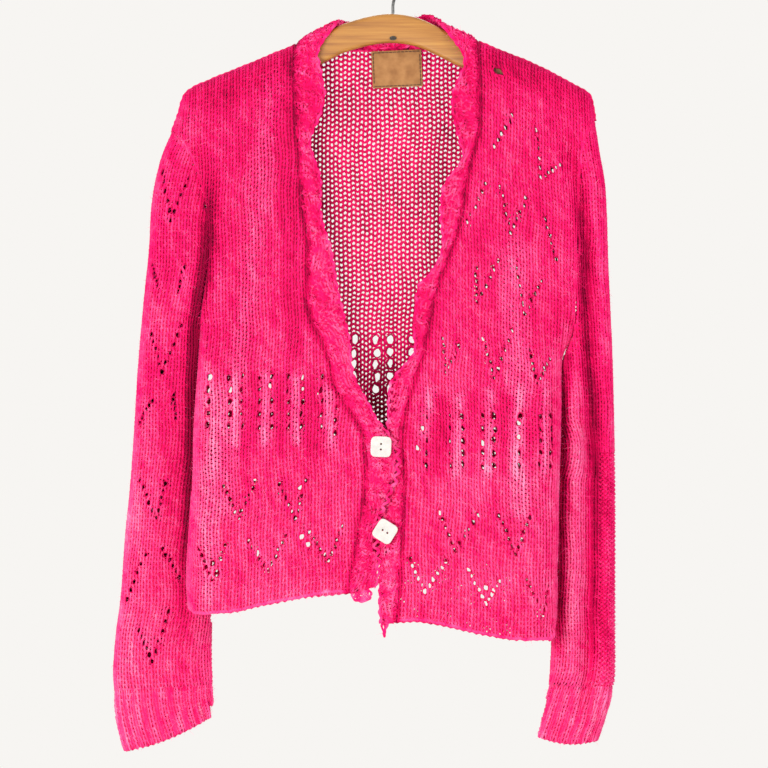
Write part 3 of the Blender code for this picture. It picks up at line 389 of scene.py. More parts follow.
# Near the point of the neck it is thicker: by how much, at what height, over what height
POINT_YARN, POINT_Z, POINT_REACH = 0.35, -455, 22
# How far the back stays an open net round each eyelet and ladder gap of the fronts
NETTED_REACH = 7.0
# The back's yarn is thin behind this share of the hem's eyelets: radius, how far round them
THIN_YARN, THIN_REACH, THIN_CHANCE = 1.05, 4.5, 0.4
# Below the back's hem the right front has nothing behind it, and this share of its felt is worn away
BARE_RISE, BARE_X, BARE_CHANCE = 4, 116, 0.13
# The right sleeve has rolled round low down, so that its purl side is out: how high, half how wide
PURL_HEIGHT, PURL_HALF_WIDTH = 230, 27

# Hanger: rows of x, z of the top edge, height
HANGER_TOP = (
    (-194, -140, 10), (-191, -138.6, 16), (-180, -132, 22), (-143, -115.6, 26), (-97, -99.4, 27),
    (-77, -87.4, 28), (-58, -76.4, 29), (-47, -71.5, 29), (-22, -64.6, 29), (0, -62.4, 29), (24, -66.2, 29),
    (47, -76.4, 29), (62, -84, 29), (85, -96.2, 27), (142, -116.8, 26), (172, -133.2, 22),
    (183, -141, 16), (186, -144, 10),
)
HANGER_THICKNESS, HANGER_ROUND, END_ROUND = 12.0, 4.5, 0.4
HANGER_STEP, CORNER_POINTS = 5.0, 6

# Label: middle x, middle z, width, height, turn in degrees
LABEL = (4, -117, 50, 37, 2.5)
LABEL_COLUMNS, LABEL_ROWS = 26, 20
# Its sewing: distance from the edge, length of a stitch, gap, radius of the thread
SEWING_INSET, SEWING_STITCH, SEWING_GAP, SEWING_THREAD = 1.7, 3.0, 0.9, 0.42
# One sewing stitch: share of its length, rise out of the tape
SEWING_PATH = ((0, 0.3), (0.25, -0.4), (0.75, -0.4), (1, 0.3))

# Buttons: how near two points are to be one, how far an edge is rounded
BUTTON_MERGE, BUTTON_ROUND = 0.00002, 0.0009

# Loose fibres: how many, their length, half width, how far out of the yarn's middle they start
FIBRES, FIBRE_LENGTH, FIBRE_WIDTH, FIBRE_START = 26000, (4.0, 11.0), (0.05, 0.09), 1.3
# Painted sheen: the loose fibres are painted lighter than the yarn they grow from, for the light that they
# scatter
FIBRE_PAINTED_SHEEN = 0.22
# Shares of a fibre's length that its middle and its tip go aside, out of the cloth and down
FIBRE_DROOP, FIBRE_MIDDLE = (0, 0, -0.35), (0.42, 0.16, 0.1)
FIBRE_TIP, FIBRE_TIP_OUT = (0.80, 0.4), (0.02, 0.32)
# Its width at its middle and at its tip
FIBRE_TAPER = (0.8, 0.3)

# Camera: what the picture is centred on, how much it takes in at the plane of the cloth, and from how far
VIEW_X, VIEW_Z, VIEW_WIDTH, VIEW_DISTANCE = -9.0, -433.0, 768.0, 8000.0
VIEW_PLANE, SENSOR, CLIP_END = 12.0, 36, 30
FLOOR_Z, FLOOR_HALF, FLOOR_BEHIND = -930.0, 1000.0, 0.6
# Area lights: name, place in metres, power, size, colour
LIGHTS = (
    ("window", (-1.1, -2.3, -0.55), 46, 1.1, "#FFFDFB"),
    ("lamp", (1.5, -1.5, 0.75), 16, 0.8, "#FFFFFF"),
    ("rim", (0.3, 1.8, 0.6), 14, 1.4, "#FFFFFF"),
)

# A random field is the sum of this many waves, of between these shares of its size, over this number
WAVES, WAVE_SIZES, WAVE_SCALE = 7, (0.7, 1.6), 3.2
# Sizes of the broad, middle and fine patches
PATCH_SIZES = (70.0, 24.0, 9.0)

rng = np.random.default_rng(NOISE_SEED)


def column(rows, at, z):
    """The value in column `at` of rows sorted by their first column, read at z."""
    table = np.array(sorted(rows), float)
    return np.interp(z, table[:, 0], table[:, at])


def smooth(t):
    t = np.clip(t, 0, 1)
    return t * t * (3 - 2 * t)


def curve_through(rows, step):
    """Evenly spaced points on a smooth curve through the rows."""
    points = np.array(rows, float)
    padded = np.vstack([2 * points[0] - points[1], points, 2 * points[-1] - points[-2]])
    fine = []
    t = np.linspace(0, 1, CURVE_PARTS, endpoint=False)[:, None]
    for a, b, c, d in zip(padded, padded[1:], padded[2:], padded[3:]):
        square = 2 * a - 5 * b + 4 * c - d
        cube = 3 * b - a - 3 * c + d
        fine.append(0.5 * (2 * b + (c - a) * t + square * t**2 + cube * t**3))
    fine = np.vstack([*fine, points[-1:]])
    along = np.append(0, np.cumsum(np.linalg.norm(np.diff(fine, axis=0), axis=1)))
    places = np.linspace(0, along[-1], max(2, round(along[-1] / step) + 1))
    return np.column_stack([np.interp(places, along, fine[:, k]) for k in range(fine.shape[1])])


def nearest(points, lines):
    """Distance from each point to the nearest of the lines, and the direction away from it."""
    starts = np.vstack([line[:-1] for line in lines])
    runs = np.vstack([np.diff(line, axis=0) for line in lines])
    best = np.full(len(points), FAR)
    away = np.zeros((len(points), 2))
    for start, run in zip(starts, runs):
        offset = points - start
        share = np.clip(offset @ run / (run @ run), 0, 1)
        leg = offset - share[:, None] * run
        length = np.linalg.norm(leg, axis=1)
        closer = length < best
        best = np.where(closer, length, best)
        away[closer] = leg[closer]
    best = np.maximum(best, TINY)
    return best, away / best[:, None]


def folds(points, table):
    """Sum of soft troughs along straight lines."""
    total = np.zeros(len(points))
    for x0, z0, x1, z1, half_width, depth in table:
        start, run = np.array((x0, z0), float), np.array((x1 - x0, z1 - z0), float)
        share = (points - start) @ run / (run @ run)
        middle = start + np.clip(share, 0, 1)[:, None] * run
        across = np.linalg.norm(points - middle, axis=1) / half_width
        ends = smooth(share / FOLD_END + FOLD_END_START) * smooth((1 - share) / FOLD_END + FOLD_END_START)
        total += depth * ends * np.exp(-(across**2) * FOLD_SPREAD)
    return total


class Layer:
    """One flattened tube of cloth: its folds seen from the front, its middle plane and its half depth."""

    def __init__(self, lines, depth, shift, inside_x):
        self.lines = [curve_through(rows, LINE_STEP) for rows in lines]
        self.depth, self.shift, self.inside_x = depth, shift, inside_x

    def middle(self, points):
        return self.shift * smooth((UNDERARM_Z - points[:, 1]) / (UNDERARM_Z - SPREAD_Z))

    def extra(self, points, side, lap):
        """Folds and laps, along +Y."""
        if side > 0:
            return -folds(points, BACK_FOLDS)
        moved = folds(points, FRONT_FOLDS)
        if lap:
            near = smooth(1 - nearest(points, [LAP_LINE[lap]])[0] / LAP_REACH)
            table = LAP_LIFT if lap == "left" else LAP_SINK
            moved = moved + (-1 if lap == "left" else 1) * near * column(table, 1, points[:, 1])
        return moved

    def outer(self, points, side, lap=None):
        """Outer points (x, y, z) and outward normals; side is -1 for the front and +1 for the back."""
        points = np.asarray(points, float)
        middle_x = np.interp(points[:, 1], *self.inside_x)
        nudge = np.column_stack([np.sign(middle_x - points[:, 0]), np.full(len(points), FOLD_NUDGE_DOWN)])
        distance, away = nearest(points + FOLD_NUDGE * nudge, self.lines)
        radius = np.interp(points[:, 1], (UNDERARM_Z, SHOULDER_Z), (FOLD_RADIUS_SIDE, FOLD_RADIUS_SHOULDER))
        left = 1 - np.clip(distance / radius, LEAST_FOLD_SHARE, 1)
        bulge = np.sqrt(1 - left**2)
        depth = column(self.depth, 1, points[:, 1])

        def plane(at):
            return self.middle(at) + self.extra(at, side, lap) * bulge

        y = plane(points) + side * (depth * bulge + SEAM_GAP / 2)
        step = 1.0
        slope = np.column_stack(
            [(plane(points + d) - plane(points - d)) / (2 * step) for d in step * np.eye(2)]
        )
        slope += side * (depth * left / bulge / radius)[:, None] * away
        normal = np.column_stack([-slope[:, 0], np.ones(len(points)), -slope[:, 1]]) * side
        normal /= np.linalg.norm(normal, axis=1)[:, None]
        return np.column_stack([points[:, 0], y, points[:, 1]]), normal


def band_rows(table):
    """The rows of an edging, evenly spaced, with the last one kept as its tip."""
    return np.vstack([curve_through(table[:-1], BAND_STEP), table[-1:]])


ROWS_LEFT, ROWS_RIGHT, ROWS_NECK = band_rows(BAND_LEFT), band_rows(BAND_RIGHT), np.array(BAND_NECK, float)
LAP_LINE = {"left": ROWS_LEFT[:, :2], "right": ROWS_RIGHT[:, :2]}
BODY = Layer(
    (SHOULDER_LEFT, SHOULDER_RIGHT, NECK_FOLD_LEFT, NECK_FOLD_RIGHT, SIDE_LEFT, SIDE_RIGHT,
     OUTER_LEFT[:4], OUTER_RIGHT[:4]),
    BODY_DEPTH, -BODY_FORWARD, BODY_MIDDLE,
)
SLEEVE_LEFT = Layer(
    (SHOULDER_LEFT, OUTER_LEFT, INNER_LEFT, CUFF_OUTER_LEFT, CUFF_INNER_LEFT),
    SLEEVE_DEPTH_LEFT, SLEEVE_BACK, SLEEVE_MIDDLE_LEFT,
)
SLEEVE_RIGHT = Layer(
    (SHOULDER_RIGHT, OUTER_RIGHT, INNER_RIGHT, CUFF_OUTER_RIGHT, CUFF_INNER_RIGHT),
    SLEEVE_DEPTH_RIGHT, SLEEVE_BACK, SLEEVE_MIDDLE_RIGHT,
)


def inside(points, loop):
    """Whether each point lies inside the closed loop."""
    result = np.zeros(len(points), bool)
    for a, b in zip(loop, np.roll(loop, -1, axis=0)):
        if a[1] == b[1]:
            continue
        crosses = (a[1] > points[:, 1]) != (b[1] > points[:, 1])
        at = a[0] + (points[:, 1] - a[1]) * (b[0] - a[0]) / (b[1] - a[1])
        result ^= crosses & (points[:, 0] < at)
    return result


def closed_loop(*edges):
    """One loop from edges laid end to end."""
    return np.vstack([edge[:-1] for edge in edges])


class Cloth:
    """A knitted wall opened out: a point, a normal and a place for each course v and each distance u."""

    def __init__(self, rows, course):
        """rows: for each course from the bottom, its places, points, normals and the u of each of them."""
        self.course = course
        # marks: the painted light and shade that this cloth takes
        self.marks, self.past = BODY_PAINTED_SHADING, 0.0
        self.low = min(row[3][0] for row in rows)
        high = max(row[3][-1] for row in rows)
        self.us = np.arange(self.low, high + GRID_STEP, GRID_STEP)
        grids = []
        for places, points, normals, u in rows:
            values = np.column_stack([places, points, normals])
            grids.append(np.column_stack([np.interp(self.us, u, values[:, k]) for k in range(8)]))
        self.grid = np.array(grids)
        self.ends = np.array([(row[3][0], row[3][-1]) for row in rows])

    def at(self, u, v):
        """Places, points and unit normals at distances u and courses v."""
        v = np.clip(v, -COURSE_PAST, len(self.grid) - 1 + COURSE_PAST)
        row = np.clip(v, 0, len(self.grid) - 1.001)
        col = np.clip((u - self.low) / GRID_STEP, 0, len(self.us) - 1.001)
        r, c = row.astype(int), col.astype(int)
        fr, fc = (row - r)[:, None], (col - c)[:, None]
        g = self.grid
        value = (1 - fr) * ((1 - fc) * g[r, c] + fc * g[r, c + 1]) + fr * (
            (1 - fc) * g[r + 1, c] + fc * g[r + 1, c + 1])
        over = (v - row)[:, None]
        value[:, :5] += over * (g[r + 1, c, :5] - g[r, c, :5])
        normal = value[:, 5:]
        normal = normal / np.maximum(np.linalg.norm(normal, axis=1), TINY)[:, None]
        return value[:, :2], value[:, 2:5], normal

    def find(self, x, z, front_only=False):
        """The u and v of the place (x, z)."""
        away = np.hypot(self.grid[:, :, 0] - x, self.grid[:, :, 1] - z)
        if front_only:
            away = away + np.where(self.us > 0, FAR, 0)[None]
        row, col = np.unravel_index(away.argmin(), away.shape)
        return self.us[col], row + (z - self.grid[row, col, 1]) / self.course


def surface_length(points, reference):
    """Distance along a row of points, counted from the point at index `reference`."""
    along = np.append(0, np.cumsum(np.linalg.norm(np.diff(points, axis=0), axis=1)))
    return along - along[reference]


def fold_arc(radius, depth, reach, step=0.25):
    """Distance along the rounded shoulder for each distance below its fold."""
    below = np.arange(0, reach, step)
    bulge = np.sqrt(1 - (1 - np.clip(below / radius, 0, 1)) ** 2) * depth
    return below, np.append(0, np.cumsum(np.hypot(np.diff(below), np.diff(bulge))))


def edge_x(edge, z):
    """The x of a garment edge at each z."""
    table = edge[np.argsort(edge[:, 1])]
    return np.interp(z, table[:, 1], table[:, 0])


def panel_cloth(side, lap, top, bottom, reference_x, span, course, left=None, right=None):
    """The cloth of a front or back, with courses that follow its hem low down and its shoulder high up."""
    upper, lower = np.array(top, float).T, np.array(bottom, float).T
    tall = np.interp(reference_x, *upper) - np.interp(reference_x, *lower)
    below, arc = fold_arc(FOLD_RADIUS_SHOULDER, BODY_DEPTH[-1][1], tall)
    count = round(arc[-1] / course)
    shares = np.interp(np.linspace(arc[-1], 0, count + 1), arc, below) / below[-1]
    xs = np.arange(span[0], span[1], PLACE_STEP)
    high = np.interp(xs, *upper)
    low = np.interp(xs, *lower)
    rows = []
    for share in shares:
        places = np.column_stack([xs, high + share * (low - high)])
        if left is not None:
            places[:, 0] = np.maximum(places[:, 0], edge_x(left, places[:, 1]) + EDGE_INSET)
        if right is not None:
            places[:, 0] = np.minimum(places[:, 0], edge_x(right, places[:, 1]) - EDGE_INSET)
        points, normals = BODY.outer(places, side, lap)
        u = surface_length(points, abs(xs - reference_x).argmin())
        rows.append((places, points, normals, u))
    cloth = Cloth(rows, course)
    cloth.past = PANEL_PAST
    return cloth


def fold_spaced(start, end):
    """Values from start to end, crowded at both."""
    return start + (end - start) * (1 - np.cos(np.linspace(0, math.pi, TUBE_PLACES))) / 2


def tube_cloth(layer, inner, outer, course, drop=None):
    """The cloth of a sleeve or cuff: front from the inner edge to the outer fold, then back again."""
    inner_line, outer_line = curve_through(inner, LINE_FINE), curve_through(outer, LINE_FINE)
    tall = abs(inner_line[-1, 1] - inner_line[0, 1])
    if drop is None:
        zs = np.linspace(inner_line[-1, 1], inner_line[0, 1], round(tall / course) + 1)
        tilt = outer_line[-1, 1] - inner_line[-1, 1]
        ends = []
        for z in zs:
            low = z + tilt * smooth(1 - (z - zs[0]) / TILT_REACH)
            ends.append(((np.interp(-z, -inner_line[:, 1], inner_line[:, 0]), z),
                         (np.interp(-low, -outer_line[:, 1], outer_line[:, 0]), low)))
    else:
        shares = np.linspace(1, 0, round(drop / course) + 1)
        ends = []
        for share in shares:
            pair = []
            for line in (inner_line, outer_line):
                steps = np.linspace(0, 1, len(line))
                pair.append((np.interp(share, steps, line[:, 0]), np.interp(share, steps, line[:, 1])))
            ends.append(tuple(pair))
    rows = []
    for k, (a, b) in enumerate(ends):
        across = fold_spaced(INSIDE_FOLD, 1 - INSIDE_FOLD)
        places = np.array(a) + across[:, None] * (np.array(b) - np.array(a))
        if drop is not None:
            places[:, 1] -= CUFF_HEM_SAG * (1 - k / (len(ends) - 1)) * np.sin(across * math.pi)
        front, front_normals = layer.outer(places, -1)
        back, back_normals = layer.outer(places[::-1], 1)
        points, normals = np.vstack([front, back]), np.vstack([front_normals, back_normals])
        rows.append((np.vstack([places, places[::-1]]), points, normals, surface_length(points, len(front))))
    return Cloth(rows, course)


def band_cloth(rows, side, lap, course):
    """The cloth of an edging: across it from its seam round to its underside, along it in courses."""
    sections = np.array(BAND_SECTION, float)
    scale = (1, BAND_SECTION_SCALE)
    fine = curve_through(sections * scale, BAND_SECTION_STEP) / scale
    dense = curve_through(rows[:-1], course)[::-1]
    made = []
    for x0, z0, x1, z1 in dense:
        places = np.array((x0, z0)) + fine[:, :1] * np.array((x1 - x0, z1 - z0))
        points, normals = BODY.outer(places, side, lap)
        points = points + fine[:, 1:] * normals
        turn = np.gradient(points, axis=0)
        facing = np.cross(turn, np.array((0, 0, 1.0)))
        facing /= np.maximum(np.linalg.norm(facing, axis=1), TINY)[:, None]
        upper = len(facing) // 3
        if (facing[:upper] * normals[:upper]).sum() < 0:
            facing = -facing
        made.append((places, points, facing, surface_length(points, 0)))
    return Cloth(made, course)


def eyelets(table, width, height, per_arm):
    """Eyelets up both arms of each V, with one at its tip: rows of x, z, half width, half height."""
    found = []
    for tip_x, tip_z, left_x, left_z, right_x, right_z in table:
        found.append((tip_x, tip_z, width / 2, height / 2))
        for end_x, end_z in {(left_x, left_z), (right_x, right_z)} - {(tip_x, tip_z)}:
            for k in range(1, per_arm + 1):
                x, z = tip_x + k / per_arm * (end_x - tip_x), tip_z + k / per_arm * (end_z - tip_z)
                found.append((x, z, width / 2, height / 2))
    return sorted(found)


def wales_between(low, high, stitch):
    """Middle and width of each column of stitches."""
    edges = np.linspace(low, high, max(1, round((high - low) / stitch)) + 1)
    return (edges[1:] + edges[:-1]) / 2, np.diff(edges)


def waves(size):
    """A gentle random field over places, about -1 to 1, with lumps of the given size."""
    angles, phases = rng.uniform(0, 2 * math.pi, WAVES), rng.uniform(0, 2 * math.pi, WAVES)
    rates = 2 * math.pi / (size * rng.uniform(*WAVE_SIZES, WAVES))

    def field(places):
        total = np.zeros(len(places))
        for angle, phase, rate in zip(angles, phases, rates):
            along = places[:, 0] * math.cos(angle) + places[:, 1] * math.sin(angle)
            total += np.sin(along * rate + phase)
        return total / WAVE_SCALE

    return field


BROAD, PATCHY, FLECKED = (waves(size) for size in PATCH_SIZES)
WANDERS = [(waves(size), waves(size), amount) for amount, size in WANDER]


def along_lines(places, table):
    """Sum of soft marks along straight lines, each with its half width and its amount."""
    total = np.zeros(len(places))
    for x0, z0, x1, z1, half_width, amount in table:
        start, run = np.array((x0, z0), float), np.array((x1 - x0, z1 - z0), float)
        share = np.clip((places - start) @ run / (run @ run), 0, 1)
        across = np.linalg.norm(places - start - share[:, None] * run, axis=1) / half_width
        total += amount * np.exp(-(across**2))
    return total


def along_creases(places, creases):
    """Sum of soft marks along bent lines, whose half width and amount change from row to row."""
    total = np.zeros(len(places))
    for rows in creases:
        best, change = np.full(len(places), FAR), np.zeros(len(places))
        for (x0, z0, width0, amount0), (x1, z1, width1, amount1) in zip(rows, rows[1:]):
            start, run = np.array((x0, z0), float), np.array((x1 - x0, z1 - z0), float)
            share = np.clip((places - start) @ run / (run @ run), 0, 1)
            across = np.linalg.norm(places - start - share[:, None] * run, axis=1)
            across /= width0 + share * (width1 - width0)
            change = np.where(across < best, amount0 + share * (amount1 - amount0), change)
            best = np.minimum(best, across)
        total += change * np.exp(-(best**2))
    return total


def tone_with_painted_shading(places, normals, marks=((), ())):
    """How light the fibres look: random patches, with painted shade in the creases and along the seams of the
    edgings, and painted light on what stands out and low down.
    """
    tone = PLAIN_TONE + BROAD_TONE * BROAD(places)
    tone = tone + PATCHY_TONE * PATCHY(places) + FLECKED_TONE * FLECKED(places)
    tone += LOW_PAINTED_LIGHT * np.clip((LOW_TONE_Z - places[:, 1]) / LOW_TONE_REACH, -1, 1)
    seam = nearest(places, SEAM_LINES)[0] / SEAM_PAINTED_SHADE[0]
    lines, creases = marks
    painted_light_and_shade = along_lines(places, lines) + along_creases(places, creases) + SEAM_PAINTED_SHADE[1] * np.exp(-(seam**2))
    return tone + np.where(normals[:, 1] < FACES_FRONT, painted_light_and_shade, along_lines(places, BACK_SHADE_LINES))


def opened(u, w, holes):
    """Moves the places u, w on the cloth aside from each hole."""
    for hu, hw, clear_u, clear_w in holes:
        half_u, half_w = clear_u + HOLE_CLEAR, clear_w + HOLE_CLEAR
        du, dw = (u - hu) / half_u, (w - hw) / half_w
        pick = np.flatnonzero(np.hypot(du, dw) < PUSH_REACH)
        reach = np.maximum(np.hypot(du[pick], dw[pick]), 1e-3)
        pushed = (reach**3 + 1) ** (1 / 3)
        u[pick] = hu + half_u * du[pick] * pushed / reach
        w[pick] = hw + half_w * dw[pick] * pushed / reach


class Knit:
    """Courses of looped yarn on a cloth."""

    def __init__(self, cloth, wales, widths, keep, holes=(), front_only=False):
        self.cloth, self.wales, self.widths, self.keep = cloth, wales, widths, keep
        self.holes = [(*cloth.find(x, z, front_only), a, b) for x, z, a, b in holes]

    def stitches(self):
        """For each course, which stitches it has."""
        count = len(self.cloth.grid)
        rows = []
        for v in range(count - 1):
            middle_v = np.full(len(self.wales), v + 0.5)
            places = self.cloth.at(self.wales, middle_v)[0]
            ends = self.cloth.ends[v]
            reach = self.cloth.past * self.widths[0]
            within = (self.wales > ends[0] - reach) & (self.wales < ends[1] + reach)
            rows.append(self.keep(places, self.wales) & within)
        return rows

    def yarn(self, radius, sink, shape=STITCH, lift_of=None, purl_of=None, mess=1.0):
        """The yarn's points, their normals, radii and tones, and whether each joins on to the next."""
        pattern = np.array(shape)
        us, vs, ds, joins = [], [], [], []
        for v, good in enumerate(self.stitches()):
            picked = np.flatnonzero(good)
            if not len(picked):
                continue
            for run in np.split(picked, np.flatnonzero(np.diff(picked) > 1) + 1):
                width = self.widths[run][:, None]
                u = self.wales[run][:, None] + pattern[:, 0] * width
                w = np.broadcast_to(v + 0.5 + pattern[:, 1], u.shape)
                d = np.broadcast_to(pattern[:, 2], u.shape)
                if purl_of is not None:
                    d = d * np.where(purl_of(self.wales[run], v), -1, 1)[:, None]
                end = self.wales[run[-1]] + self.widths[run[-1]] / 2
                us.append(np.append(u.ravel(), end))
                vs.append(np.append(w.ravel(), v + 0.5 + pattern[0, 1]))
                ds.append(np.append(d.ravel(), -1.0))
                joins.append(np.append(np.ones(u.size, bool), False))
        u, v, d, join = (np.concatenate(part) for part in (us, vs, ds, joins))
        course = self.cloth.course
        spots = np.column_stack([u, v * course])
        for across, along, amount in WANDERS:
            u = u + amount * mess * across(spots)
            v = v + amount * mess / course * along(spots)
        u = u + rng.normal(0, STRAY_ACROSS * mess, len(u))
        v = v + rng.normal(0, STRAY_ALONG * mess, len(v))
        w = v * course
        holes = [(hu, hv * course, a, b) for hu, hv, a, b in self.holes]
        opened(u, w, holes)
        v = w / course
        middle_u, middle_w = (u[1:] + u[:-1]) / 2, (w[1:] + w[:-1]) / 2
        for hu, hw, a, b in holes:
            inward = np.hypot((middle_u - hu) / (a + CUT_ROUND), (middle_w - hw) / (b + CUT_ROUND))
            join[:-1] &= inward >= CUT_SHARE
        places, points, normals = self.cloth.at(u, v)
        raised = 0 if lift_of is None else lift_of(u, v, places)
        lift = d * YARN_DEPTH - sink + raised
        # Painted light and shade: lighter where the yarn stands out or is raised, darker where it lies deep
        tones = tone_with_painted_shading(places, normals, self.cloth.marks) + YARN_HEIGHT_PAINTED_LIGHT * d + LIFT_PAINTED_LIGHT * raised
        tones = tones + rng.normal(0, YARN_FLECK, len(u))
        points = points + lift[:, None] * normals
        radii = radius * rng.uniform(*YARN_SHARES, len(u)) if np.isscalar(radius) else radius(places)
        rings = self.rings(sink, lift_of)
        if rings is None:
            return points, normals, radii, tones, join
        return [np.concatenate(pair) for pair in zip((points, normals, radii, tones, join), rings)]

    def rings(self, sink, lift_of):
        """The yarn that runs round each eyelet, painted darker as shade round the hole."""
        if not self.holes:
            return None
        turn = np.linspace(0, 2 * math.pi, RING_POINTS + 1)
        hu, hv, a, b = (np.array(self.holes)[:, k, None] for k in range(4))
        wobble = rng.uniform(*RING_SHARES, (len(self.holes), RING_POINTS + 1))
        wobble[:, -1] = wobble[:, 0]
        u = (hu + (a + RING_OUT) * wobble * np.cos(turn)).ravel()
        v = (hv + (b + RING_OUT) * wobble * np.sin(turn) / self.cloth.course).ravel()
        places, points, normals = self.cloth.at(u, v)
        lift = np.full(len(u), RING_RISE - sink) + (lift_of(u, v, places) if lift_of is not None else 0)
        join = np.tile(np.append(np.ones(RING_POINTS, bool), False), len(self.holes))
        tones = tone_with_painted_shading(places, normals, self.cloth.marks) + RING_PAINTED_SHADE
        return points + lift[:, None] * normals, normals, np.full(len(u), RING_YARN), tones, join

    def ground(self, sink, omit=None):
        """The felted fibres behind the yarn: a thin sheet with a patch behind each stitch."""
        points, faces, index = [], [], {}
        edges = np.append(self.wales - self.widths / 2, self.wales[-1] + self.widths[-1] / 2)
        for v, good in enumerate(self.stitches()):
            middle_v = np.full(len(self.wales), v + 0.5)
            places = self.cloth.at(self.wales, middle_v)[0]
            kept = good.copy()
            if omit is not None:
                kept &= ~omit(places)
            for hu, hv, a, b in self.holes:
                aside, above = abs(self.wales - hu), abs(v + 0.5 - hv) * self.cloth.course
                kept &= (aside > self.widths / 2 + 0.5 * a) | (above > self.cloth.course / 2 + 0.5 * b)
            for k in np.flatnonzero(kept):
                corners = []
                for key in ((k, v), (k + 1, v), (k + 1, v + 1), (k, v + 1)):
                    if key not in index:
                        index[key] = len(points)
                        points.append((edges[key[0]], key[1]))
                    corners.append(index[key])
                faces.append(corners)
        flat = np.array(points, float)
        places, surface, normals = self.cloth.at(flat[:, 0], flat[:, 1])
        return surface - sink * normals, faces, tone_with_painted_shading(places, normals, self.cloth.marks)


def mesh_piece(name, points, faces, material, slot, tones=None):
    """A mesh object in its material; slot is not used; tones are how light its yarn is at each point."""
    mesh = bpy.data.meshes.new(name)
    points = np.asarray(points, np.float32) * MM
    faces = np.asarray(faces, np.int32)
    sides = faces.shape[1]
    mesh.vertices.add(len(points))
    mesh.vertices.foreach_set("co", points.ravel())
    mesh.loops.add(faces.size)
    mesh.loops.foreach_set("vertex_index", faces.ravel())
    mesh.polygons.add(len(faces))
    mesh.polygons.foreach_set("loop_start", np.arange(0, faces.size, sides, dtype=np.int32))
    mesh.update(calc_edges=True)
    mesh.shade_smooth()
    if tones is not None:
        values = mesh.attributes.new("tone", "FLOAT", "POINT").data
        values.foreach_set("value", np.asarray(tones, np.float32))
    mesh.materials.append(material)
    thing = bpy.data.objects.new(name, mesh)
    bpy.context.scene.collection.objects.link(thing)
    return thing


def tubes(points, normals, radii, join, sides):
    """Rings round a yarn and the faces between them."""
    step = np.zeros_like(points)
    forward = np.where(join[:-1, None], points[1:] - points[:-1], 0)
    step[:-1] += forward
    step[1:] += forward
    tangent = step / np.maximum(np.linalg.norm(step, axis=1), TINY)[:, None]
    across = np.cross(tangent, normals)
    across /= np.maximum(np.linalg.norm(across, axis=1), TINY)[:, None]
    up = np.cross(across, tangent)
    angles = math.pi / 2 + 2 * math.pi * np.arange(sides) / sides
    ring = np.cos(angles)[None, :, None] * across[:, None] + np.sin(angles)[None, :, None] * up[:, None]
    rings = points[:, None] + radii[:, None, None] * ring
    starts = np.flatnonzero(join)[:, None] * sides
    k = np.arange(sides)
    n = (k + 1) % sides
    faces = np.stack([starts + k, starts + n, starts + sides + n, starts + sides + k], axis=2)
    return rings.reshape(-1, 3), faces.reshape(-1, 4)


def cord_line(points, radius, normal=(0, -1, 0), sides=6, ripple=0.0, pitch=5.0):
    """One cord along a line of points, its thickness rippling as a twisted or looped yarn's does."""
    points = np.asarray(points, float)
    along = np.append(0, np.cumsum(np.linalg.norm(np.diff(points, axis=0), axis=1)))
    radii = radius * (1 + ripple * np.sin(2 * math.pi * along / pitch))
    join = np.append(np.ones(len(points) - 1, bool), False)
    return tubes(points, np.tile(normal, (len(points), 1)), radii, join, sides)


def joined(parts):
    """Several (points, faces) as one."""
    points, faces, count = [], [], 0
    for p, f in parts:
        points.append(p)
        faces.append(np.asarray(f) + count)
        count += len(p)
    return np.vstack(points), np.vstack(faces)


# Materials

def linear(hex_colour):
    """An sRGB hex colour as linear RGBA."""
    values = [int(hex_colour[k:k + 2], 16) / 255 for k in (1, 3, 5)]
    return (*(v / 12.92 if v <= 0.04045 else ((v + 0.055) / 1.055) ** 2.4 for v in values), 1)


def add(tree, kind, settings=None, links=None):
    """A node with its settings and the sockets that feed it."""
    node = tree.nodes.new(kind)
    for key, value in (settings or {}).items():
        if isinstance(key, str) and hasattr(node, key):
            setattr(node, key, value)
        else:
            node.inputs[key].default_value = value
    for key, source in (links or {}).items():
        tree.links.new(source, node.inputs[key])
    return node


def new_material(name):
    material = bpy.data.materials.new(name)
    material.use_nodes = True
    return material, material.node_tree, material.node_tree.nodes["Principled BSDF"]


def colour_ramp(tree, source, stops):
    ramp = add(tree, "ShaderNodeValToRGB", links={"Fac": source})
    while len(ramp.color_ramp.elements) < len(stops):
        ramp.color_ramp.elements.new(0.5)
    for element, (place, colour) in zip(ramp.color_ramp.elements, stops):
        element.position = place
        element.color = linear(colour)
    return ramp.outputs["Color"]


